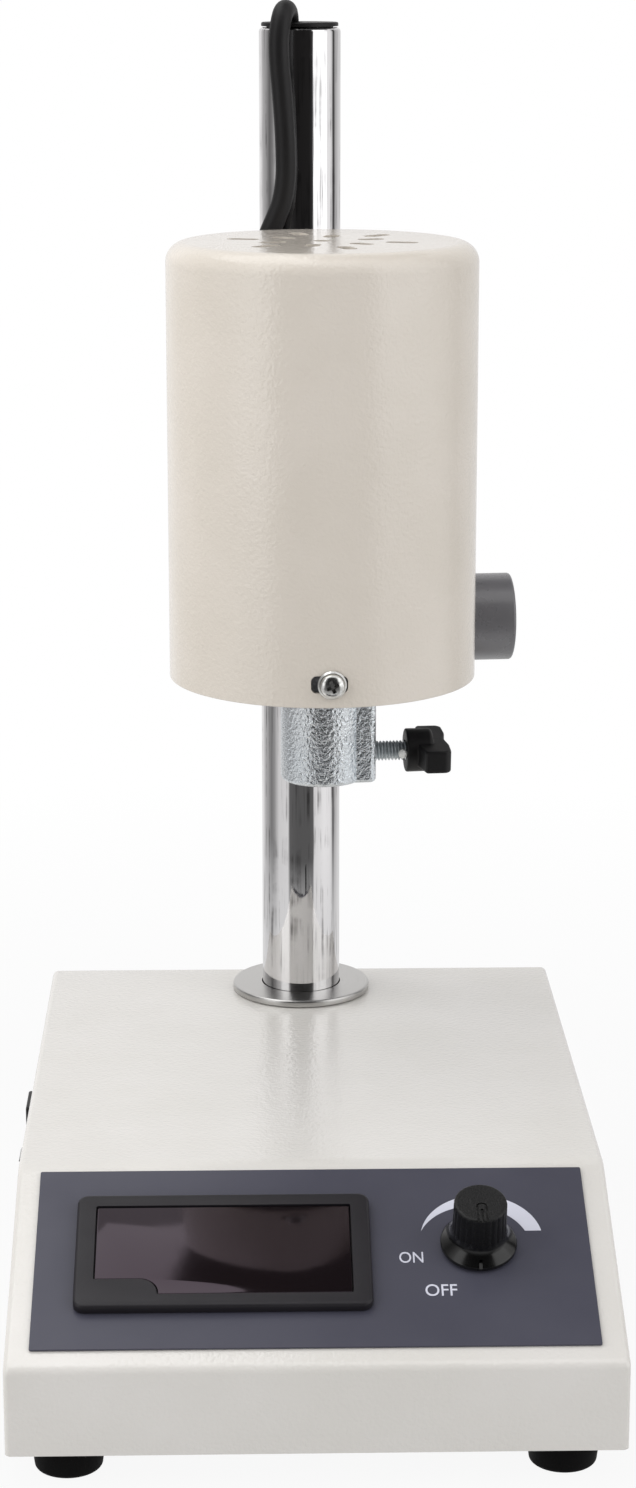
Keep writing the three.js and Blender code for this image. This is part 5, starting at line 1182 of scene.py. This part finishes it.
# %% Dial mark and switch words
def ribbon(name, inner_edge, outer_edge, low, high, place):
    """A flat mark between two lines of the same number of points."""
    count = len(inner_edge)
    rings = [np.c_[line, np.full(count, z)] for z in (low, high) for line in (inner_edge, outer_edge)]
    bottom_in, bottom_out, top_in, top_out = (k * count + np.arange(count) for k in range(4))
    sides = [(top_in, top_out), (top_out, bottom_out), (bottom_out, bottom_in), (bottom_in, top_in)]
    faces = [np.stack([a[:-1], a[1:], b[1:], b[:-1]], 1) for a, b in sides]
    ends = [
        [bottom_in[0], bottom_out[0], top_out[0], top_in[0]],
        [top_in[-1], top_out[-1], bottom_out[-1], bottom_in[-1]],
    ]
    return weld(mesh_object(name, np.concatenate(rings), np.concatenate(faces + [ends]), place))


def through(three_points, count=64):
    """An arc of the circle through three points, from the first to the last. The centre is
    equally far from all three, which gives two linear equations for its two coordinates."""
    (x1, y1), (x2, y2), (x3, y3) = three_points
    a = np.array([[x2 - x1, y2 - y1], [x3 - x1, y3 - y1]]) * 2
    b = np.array([x2**2 - x1**2 + y2**2 - y1**2, x3**2 - x1**2 + y3**2 - y1**2])
    centre = np.linalg.solve(a, b)
    start, middle, end = (math.atan2(y - centre[1], x - centre[0]) for x, y in three_points)
    sweep = (end - start + 2 * math.pi) % (2 * math.pi)
    if (middle - start) % (2 * math.pi) > sweep:
        sweep -= 2 * math.pi
    angles = start + np.linspace(0, sweep, count)
    radius = math.hypot(x1 - centre[0], y1 - centre[1])
    return centre + radius * np.stack([np.cos(angles), np.sin(angles)], 1)


DIAL_START, DIAL_LOW = (28.9, 47.7), 47.5
arc_outer = through([DIAL_START, (45.1, 61.1), (61.3, DIAL_LOW)])
arc_inner = through([DIAL_START, (42.9, 56.9), (56.9, DIAL_LOW)])
dial = ribbon("dial_mark", arc_inner, arc_outer, FILM_TOP, FILM_TOP + INK, PANEL)
dress(dial, print_white, "base", slot="slate_overlay")


def word(name, text, left, low, height, width, place):
    """Plain letters made a mesh, then sized to a box and laid on the film."""
    curve = bpy.data.curves.new(name, "FONT")
    curve.body, curve.extrude, curve.offset = text, 0.02, 0.003
    source = bpy.data.objects.new(name + "_source", curve)
    bpy.context.scene.collection.objects.link(source)
    graph = bpy.context.evaluated_depsgraph_get()
    mesh = bpy.data.meshes.new_from_object(source.evaluated_get(graph))
    bpy.data.objects.remove(source)
    points = np.empty(3 * len(mesh.vertices))
    mesh.vertices.foreach_get("co", points)
    points = points.reshape(-1, 3)
    low_corner, size = points.min(0), np.ptp(points, axis=0)
    points = (points - low_corner) / size * (width, height, INK) + (left, low, FILM_TOP)
    mesh.vertices.foreach_set("co", points.ravel())
    return link_mesh(name, mesh, place)


# Each word: its piece, its letters, the left and the low edge of its box, its height and its width
WORDS = (("word_on", "ON", 22.6, 35.9, 4.0, 6.4), ("word_off", "OFF", 29.0, 23.7, 4.2, 8.4))
for settings in WORDS:
    dress(word(*settings, PANEL), print_white, "base", slot="slate_overlay")
print("print done")

# %% [markdown]
# ## The panel meter
# A stock digital meter is let into the slope. Its frame stands proud with a rounded rim, and its
# smoked window has a step out of the lower left corner. The frame is a stacked outline with the
# window's outline cut through it, and the window is a separate slab, a little lower than the rim.

# %% Meter frame and window
BEZEL_LOW, BEZEL_TOP, BEZEL_SIZE, BEZEL_CORNER = 1.1, 3.6, (78.8, 41.8), 3
CASE_BOTTOM, CASE_WALL, CASE_CORNER = -20, 1.5, 1.5
WINDOW_W, WINDOW_H, STEP_W, STEP_H = 68, 32.2, 16.8, 5.6
SIGHT_SIDES, SIGHT_ENDS = 33.6, 14.4
SEAT_DEPTH, SEAT_ROOM, WINDOW_FLOAT, WINDOW_SUNK, WINDOW_EDGE = 1.9, 0.3, 0.2, 0.35, 0.25


def window_outline(grow):
    """The window anticlockwise, with a rounded step at its lower left."""
    x, y = WINDOW_W / 2 + grow, WINDOW_H / 2 + grow
    step_x, step_y = STEP_W - WINDOW_W / 2 - grow, STEP_H - WINDOW_H / 2 - grow
    corners = [(step_x, -y), (x, -y), (x, y), (-x, y), (-x, step_y), (step_x, step_y)]
    return rounded(corners, [0.3, 0.6, 0.6, 0.6, 0.3, 5.0], closed=True)


case_outline = rectangle(*METER_CASE, CASE_CORNER)
room_outline = rectangle(METER_CASE[0] - 2 * CASE_WALL, METER_CASE[1] - 2 * CASE_WALL, CASE_CORNER)
sight_outline = rectangle(WINDOW_W - SIGHT_SIDES, WINDOW_H - SIGHT_ENDS, 1.5)
bezel_outline = rectangle(*BEZEL_SIZE, BEZEL_CORNER, 10)
bezel = plate("meter_frame", bezel_outline, BEZEL_LOW, BEZEL_TOP, METER, 0.2, 1.0)
join(bezel, plate("case", case_outline, CASE_BOTTOM, BEZEL_LOW + 0.5, METER))
cut(
    bezel,
    plate("room", room_outline, CASE_BOTTOM - 5, BEZEL_LOW, METER),
    plate("sight", sight_outline, 0, BEZEL_TOP, METER),
    plate("seat", window_outline(SEAT_ROOM), BEZEL_TOP - SEAT_DEPTH, BEZEL_TOP + 2, METER),
)
dress(bezel, bezel_black, "base", "meter_bezel", slot="black_plastic")
window_low, window_top = BEZEL_TOP - SEAT_DEPTH + WINDOW_FLOAT, BEZEL_TOP - WINDOW_SUNK
window = plate("meter_glass", window_outline(0), window_low, window_top, METER, 0, WINDOW_EDGE)
dress(window, smoked, "base", "meter_window", slot="meter_glass")
print("meter done")

# %% [markdown]
# ## The speed knob
# The knob is moulded in one piece: a glossy flared skirt, a fluted grip and a grained flat top with
# a moulded pointer. The flutes are a wave on the radius by angle, faded out on the skirt and the
# top, so the whole outside is one turned grid.

# %% Speed knob
KNOB_LOW, KNOB_TOP, SKIRT_RADIUS, SKIRT_EDGE = 1.4, 16.8, 10.3, 0.3
FLARE_LOW, FLARE_HEIGHT, FLARE_REACH, FLARE_POWER = 1.3, 4.5, 3.0, 2.2
FLUTED_RADIUS, FLUTED_TOP_RADIUS, FLUTED_LOW, FLUTED_END = 7.25, 7.12, 6.1, 0.6
FLUTES, FLUTE_DEPTH, GLOSSY_HEIGHT = 24, 0.03, 6
flare = np.linspace(0, 1, 14)
flare_radius = FLUTED_RADIUS + FLARE_REACH * (1 - flare) ** FLARE_POWER
fluted_radius = np.linspace(FLUTED_RADIUS, FLUTED_TOP_RADIUS, 16)
fluted_height = np.linspace(KNOB_LOW + FLUTED_LOW, KNOB_TOP - FLUTED_END, 16)
knob_profile = np.vstack(
    [
        [(0, KNOB_LOW), (SKIRT_RADIUS - SKIRT_EDGE, KNOB_LOW)],
        [(SKIRT_RADIUS, KNOB_LOW + SKIRT_EDGE), (SKIRT_RADIUS, KNOB_LOW + 1.1)],
        np.stack([flare_radius, KNOB_LOW + FLARE_LOW + FLARE_HEIGHT * flare], 1),
        np.stack([fluted_radius, fluted_height], 1),
        [(7.0, KNOB_TOP - 0.25), (6.7, KNOB_TOP), (6.0, KNOB_TOP), (0, KNOB_TOP)],
    ]
)


def flutes(profile, angles):
    """One less a depth times a rounded cosine of the angle, only between the skirt and the top."""
    z = profile[:, 1]
    share = np.clip((z - KNOB_LOW - 5.0) / 1.2, 0, 1) * np.clip((KNOB_TOP - 0.3 - z) / 0.8, 0, 1)
    groove = (0.5 - 0.5 * np.cos(FLUTES * angles)) ** 2
    return 1 - FLUTE_DEPTH * share[:, None] * groove[None, :]


knob = turned("speed_grip", knob_profile, KNOB, 240, flutes)
# The width, length and corner radius of each mark on the knob
POINTER_SIZE, RIB_SIZE = (2.9, 8.4, 1.44), (1.9, 9.4, 0.94)
GROOVE_SIZE, MARK_SIZE = (0.7, 7, 0.34), (0.9, 2.6, 0.44)
RECESS_LOW, RECESS_HIGH = KNOB_TOP - 0.4, KNOB_TOP + 2
POINTER_X, POINTER_Y, RIB_OUT, GROOVE_OUT = 0.2, -4.2, 0.95, 1.6
MARK_OUT, MARK_RISE, MARK_LEAN, KNOB_BORE, KNOB_BORE_DEPTH = 9.5, 1.5, 20, 3.15, 11
pointer = KNOB @ shift(POINTER_X, POINTER_Y, 0)
rib_place, groove_place = pointer @ shift(0, -RIB_OUT, 0), pointer @ shift(0, -GROOVE_OUT, 0)
outline = plate("pointer", rectangle(*POINTER_SIZE, 10), RECESS_LOW, RECESS_HIGH, pointer)
cut(outline, plate("rib", rectangle(*RIB_SIZE), KNOB_TOP - 1, KNOB_TOP + 3, rib_place))
mark_place = KNOB @ shift(0, -MARK_OUT, KNOB_LOW + MARK_RISE) @ turn("X", MARK_LEAN)
cut(
    knob,
    plate("bore", circle(KNOB_BORE, 32), KNOB_LOW - CLEAR, KNOB_LOW + KNOB_BORE_DEPTH, KNOB),
    outline,
    plate("groove", rectangle(*GROOVE_SIZE, 6), RECESS_LOW, RECESS_HIGH, groove_place),
    plate("skirt_mark", rectangle(*MARK_SIZE, 5), -0.2, 2, mark_place),
)
dress(knob, gloss_black, "speed_knob", "speed_knob", slot="black_plastic", degrees=50)
knob.data.materials.append(grained_black)
to_knob = np.array((TO_ROW @ KNOB).inverted())
centres = np.empty(3 * len(knob.data.polygons))
knob.data.polygons.foreach_get("center", centres)
heights = centres.reshape(-1, 3) @ to_knob[2, :3] + to_knob[2, 3]
grained = (heights > KNOB_LOW + GLOSSY_HEIGHT).astype(np.int32)
knob.data.polygons.foreach_set("material_index", grained)
print("knob faces", len(knob.data.polygons))

# %% [markdown]
# ## The rocker switch and the mains inlet
# The power switch is a stock rocker on the left side, and the mains inlet a stock socket on the rear
# face. Both are moulded frames pushed through a hole in the sheet. The rocker's face is hollowed
# along its length, and it is turned about its pin so that its upper end is pressed in.

# %% Rocker switch
ROCKER_TILT, PIN_HEIGHT = -12, 0.4
SWITCH_LOW, SWITCH_TOP, BODY_BOTTOM, POCKET_BOTTOM = 0.3, 2.09, -13.4, -8
SWITCH_FRAME, SWITCH_POCKET, FRAME_EDGE = (15, 21.2, 1.1), (11.2, 17.4, 0.4), 0.6
frame_outline = rectangle(*SWITCH_FRAME)
switch_frame = plate("switch_frame", frame_outline, SWITCH_LOW, SWITCH_TOP, SWITCH, 0, FRAME_EDGE)
join(switch_frame, plate("body", rectangle(*SWITCH_BODY, 0.5), BODY_BOTTOM, SWITCH_LOW + 0.3, SWITCH))
cut(switch_frame, plate("pocket", rectangle(*SWITCH_POCKET), POCKET_BOTTOM, 5, SWITCH))
dress(switch_frame, moulded_black, "base", "switch_housing", slot="black_plastic")


def hollow_bar(name, place, half, width, rise, hollow, depth, belly, edge_radius):
    """The rocker's side view along its length u: the face is the rise less the hollow times one
    minus u squared, and the back is a shallow arc. The view is carried across the width."""
    u = np.linspace(-1, 1, 41)
    face = np.stack([u * half, rise - hollow * (1 - u**2)], 1)
    back = np.stack([-u * half, rise - depth - belly * (1 - u**2)], 1)
    view = np.vstack([face, back])[::-1]
    levels = edge_levels(-width / 2, width / 2, edge_radius, edge_radius)
    upright = place @ Matrix(((0, 0, 1, 0), (1, 0, 0, 0), (0, 1, 0, 0), (0, 0, 0, 1)))
    return stacked(name, view, levels, upright)


rocker_place = SWITCH @ shift(0, 0, PIN_HEIGHT) @ turn("X", ROCKER_TILT)
rocker = hollow_bar(
    "rocker_paddle", rocker_place, half=8.1, width=10.2, rise=2.7, hollow=1.3, depth=4.2, belly=3.0,
    edge_radius=0.35,
)
weld(rocker)
dress(rocker, gloss_black, "rocker", "switch_rocker", slot="rocker_plastic", degrees=50)
print("switch done")

# %% Mains inlet
INLET = BASE @ shift(INLET_X, BASE_DEPTH, INLET_Z) @ turn("Z", 180) @ turn("X", 90)
INLET_LOW, INLET_TOP, INLET_BOTTOM, WELL_BOTTOM = 0.3, 2.7, -20.5, -14.3
FIXING_X, FIXING_HOLE, PIN_FOOT, PIN_TIP, PIN_SIZE, PIN_POINT = 20, 1.7, -15, -0.3, (2, 4, 0.5), 0.6
half_outline = [(-25, -5), (-14, -11.6), (14, -11.6), (25, -5)]
inlet_corners = half_outline + [(-x, -y) for x, y in half_outline]
inlet_outline = rounded(inlet_corners, [3, 2, 2, 3] * 2, 6, closed=True)
inlet = plate("inlet_body", inlet_outline, INLET_LOW, INLET_TOP, INLET, 0, 0.5)
join(inlet, plate("case", rectangle(*INLET_CASE, 1), INLET_BOTTOM, INLET_LOW + 0.3, INLET))
well_corners = [(-12, -8.2), (12, -8.2), (12, 4.2), (8, 8.2), (-8, 8.2), (-12, 4.2)]
well = plate("well", rounded(well_corners, 1.0, 5, closed=True), WELL_BOTTOM, 5, INLET)
fixing_places = [INLET @ shift(x, 0, 0) for x in (-FIXING_X, FIXING_X)]
cut(inlet, well, *[plate("hole", circle(FIXING_HOLE, 24), -3, 5, place) for place in fixing_places])
dress(inlet, moulded_black, "base", "mains_inlet", slot="black_plastic")
for name, x, y in (("left", -7, -1), ("middle", 0, 2), ("right", 7, -1)):
    pin_place = INLET @ shift(x, y, 0)
    pin_outline = rectangle(*PIN_SIZE, 4)
    pin = plate(f"inlet_pin_{name}", pin_outline, PIN_FOOT, PIN_TIP, pin_place, 0, PIN_POINT)
    dress(pin, brass, "base", slot="brass_part")
print("inlet done")

# %% [markdown]
# ## Light, floor and background
# Chrome shows what stands round it, so the column tells how the picture was lit: a soft light to
# the left, a wider one to the right, and the dark room behind the camera between them. The upright
# lamps are hidden from reflections, where they would burn out the glossy edges, and two cards with
# a lower radiance stand in their places. Behind them a round wall takes its grey from the azimuth,
# and a dark ceiling hangs over the right side. The cards aren't seen by the camera, only in
# reflections. The floor and the world look white to the camera and in reflections, and the floor
# still takes a soft shadow.


# %% Lamps and cards
STUDIO_CENTRE = Vector((0.0, 0.1, 0.0))
LAMP_DISTANCE, LAMP_HEIGHT, GLOW_STRENGTH = 1.5, 1.9, 1.4
WALL_DISTANCE, WALL_HEIGHT, WALL_STEPS = 1.9, 2.4, 72
ROOM_START, ABOVE_FLOOR, CEILING_HEIGHT = 0.2, 0.001, 2.2
QUAD = [(0, 1, 2, 3)]
# What stands round the set: an azimuth in degrees, and the grey there on a screen
ROOM = [
    (-180, 244), (-146, 240), (-128, 184), (-112, 160), (-97, 104), (-84, 142), (-68, 219), (-38, 228),
    (-34, 56), (-12, 30), (26, 34), (36, 56), (38, 228), (72, 250), (92, 246), (101, 224), (107, 74),
    (112, 74), (117, 172), (136, 214), (180, 244),
]


def studio_place(azimuth, distance, height):
    """A place in the studio. An azimuth of nought is towards the camera, and it grows towards the
    right of the picture."""
    angle = math.radians(azimuth)
    away = Vector((math.sin(angle), -math.cos(angle), 0)) * distance
    return STUDIO_CENTRE + away + Vector((0, 0, height))


def soft_lamp(name, place, turned_by, size, radiance):
    """An area lamp. Its power is pi times its area times its radiance."""
    data = bpy.data.lights.new(name, "AREA")
    data.shape = "RECTANGLE"
    data.size, data.size_y = size
    data.energy = math.pi * data.size * data.size_y * radiance
    lamp = bpy.data.objects.new(name, data)
    lamp.location = place
    lamp.rotation_euler = turned_by
    lamp.visible_camera = False
    bpy.context.scene.collection.objects.link(lamp)
    return lamp


def upright_lamp(name, azimuth, spread, radiance):
    """A lamp standing on the floor at an azimuth, as wide as an angle seen from the centre. It isn't
    seen in reflections. Its four corners are for the card that stands for it there."""
    width = 2 * LAMP_DISTANCE * math.tan(math.radians(spread / 2))
    place = studio_place(azimuth, LAMP_DISTANCE, LAMP_HEIGHT / 2)
    turned_by = (math.radians(90), 0, math.radians(azimuth))
    soft_lamp(name, place, turned_by, (width, LAMP_HEIGHT), radiance).visible_glossy = False
    stand = Matrix.Translation(place) @ turn("Z", azimuth) @ turn("X", 90)
    return [stand @ Vector((x, y, 0)) for x, y in rectangle(width, LAMP_HEIGHT, 0)]


def emission(tree, colour=(1, 1, 1, 1), strength=1.0):
    return add(tree, "Emission", {"Color": colour, "Strength": strength})


def room_material():
    """What stands round the set, as seen in chrome. The azimuth picks a grey from a ramp, and on the
    floor the grey gives way to the white of the floor nearer than a quarter of a metre."""
    material, tree = blank_material("room")
    place = maths(tree, "SUBTRACT", object_coordinates(tree), tuple(STUDIO_CENTRE), kind="VectorMath")
    parts = add(tree, "SeparateXYZ", {0: place}).outputs
    azimuth = maths(tree, "ARCTAN2", parts[0], maths(tree, "MULTIPLY", parts[1], -1.0))
    greys = add(tree, "ValToRGB", {0: ramp(tree, azimuth, -math.pi, math.pi)})
    stops = greys.color_ramp.elements
    for i, (degrees, grey) in enumerate(ROOM):
        stop = stops[i] if i < 2 else stops.new(1.0)
        stop.position = degrees / 360 + 0.5
        stop.color = srgb(grey, grey - 1, grey - 1)
    reach = maths(tree, "LENGTH", place, kind="VectorMath")
    on_floor = ramp(tree, reach, 0.22, 0.5, 0.0, 0.88)
    on_wall = ramp(tree, reach, 1.7, 1.89, 0.0, 0.12)
    depth = maths(tree, "ADD", on_floor, on_wall)
    show(tree, emission(tree, mix_colour(tree, depth, srgb(228, 228, 228), greys.outputs[0])))
    return material


def card(name, points, faces, material):
    """A card seen only in reflections."""
    piece = mesh_object(name, points, faces, Matrix.Identity(4))
    piece.data.materials.append(material)
    piece.visible_camera = piece.visible_diffuse = piece.visible_shadow = False
    return piece


wall_rows = [(ROOM_START, ABOVE_FLOOR), (WALL_DISTANCE, ABOVE_FLOOR), (WALL_DISTANCE, WALL_HEIGHT)]
azimuths = np.arange(WALL_STEPS) * 360 / WALL_STEPS
wall_points = [studio_place(angle, *row) for row in wall_rows for angle in azimuths]
wall_faces = grid_faces(len(wall_rows), WALL_STEPS, wrap_columns=True)
card("room_wall", wall_points, wall_faces, room_material())

ceiling = bpy.data.materials.new("dark_ceiling")
ceiling.use_nodes = True
ceiling.node_tree.nodes["Principled BSDF"].inputs["Base Color"].default_value = srgb(90, 88, 90)
ceiling_corners = ((-0.072, 0), (1.2, 0), (1.2, 1.6), (-0.072, 1.6))
card("ceiling", [(x, y, CEILING_HEIGHT) for x, y in ceiling_corners], QUAD, ceiling)

glow, glow_tree = blank_material("lamp_glow")
show(glow_tree, emission(glow_tree, strength=GLOW_STRENGTH))
left_corners = upright_lamp("left_light", azimuth=-49, spread=24, radiance=1.65)
right_corners = upright_lamp("right_light", azimuth=60, spread=44, radiance=1.35)
upright_lamp("side_light", azimuth=-95, spread=40, radiance=1.4)
soft_lamp("top_light", Vector((-0.55, 0.1, 1.3)), (0, 0, 0), size=(1.0, 1.0), radiance=1.25)
card("left_glow", left_corners, QUAD, glow)
card("right_glow", right_corners, QUAD, glow)
print("lamps", len(bpy.data.lights))

# %% Floor and world
FLOOR_WIDTH, WORLD_STRENGTH = 12.0, 0.66


def seen_directly(tree):
    """One where the camera, a mirror or glass looks at the surface, and nought for other light."""
    rays = add(tree, "LightPath").outputs
    first = maths(tree, "MAXIMUM", rays["Is Camera Ray"], rays["Is Glossy Ray"])
    return maths(tree, "MAXIMUM", first, rays["Is Transmission Ray"])


def blended(tree, share, first, second):
    return add(tree, "MixShader", {0: share, 1: first.outputs[0], 2: second.outputs[0]})


floor_points = np.c_[rectangle(FLOOR_WIDTH, FLOOR_WIDTH, 0), np.zeros(4)]
floor = mesh_object("floor", floor_points, QUAD, Matrix.Identity(4))
floor_paint, tree = blank_material("floor_white")
reach = maths(tree, "LENGTH", object_coordinates(tree), kind="VectorMath")
share = maths(tree, "MULTIPLY", seen_directly(tree), ramp(tree, reach, 0.25, 0.6, 0.92, 1.0))
matt = add(tree, "BsdfDiffuse", {"Color": srgb(196, 196, 196)})
show(tree, blended(tree, share, matt, emission(tree)))
floor.data.materials.append(floor_paint)

world = bpy.data.worlds.new("studio")
bpy.context.scene.world = world
world.use_nodes = True
tree = world.node_tree
tree.nodes.clear()
ambient = add(tree, "Background", {"Color": srgb(250, 250, 252), "Strength": WORLD_STRENGTH})
white = add(tree, "Background", {"Color": (1, 1, 1, 1), "Strength": 1.0})
show(tree, blended(tree, seen_directly(tree), ambient, white), "OutputWorld")
bpy.context.scene.view_settings.view_transform = "Standard"
print("floor and world done")
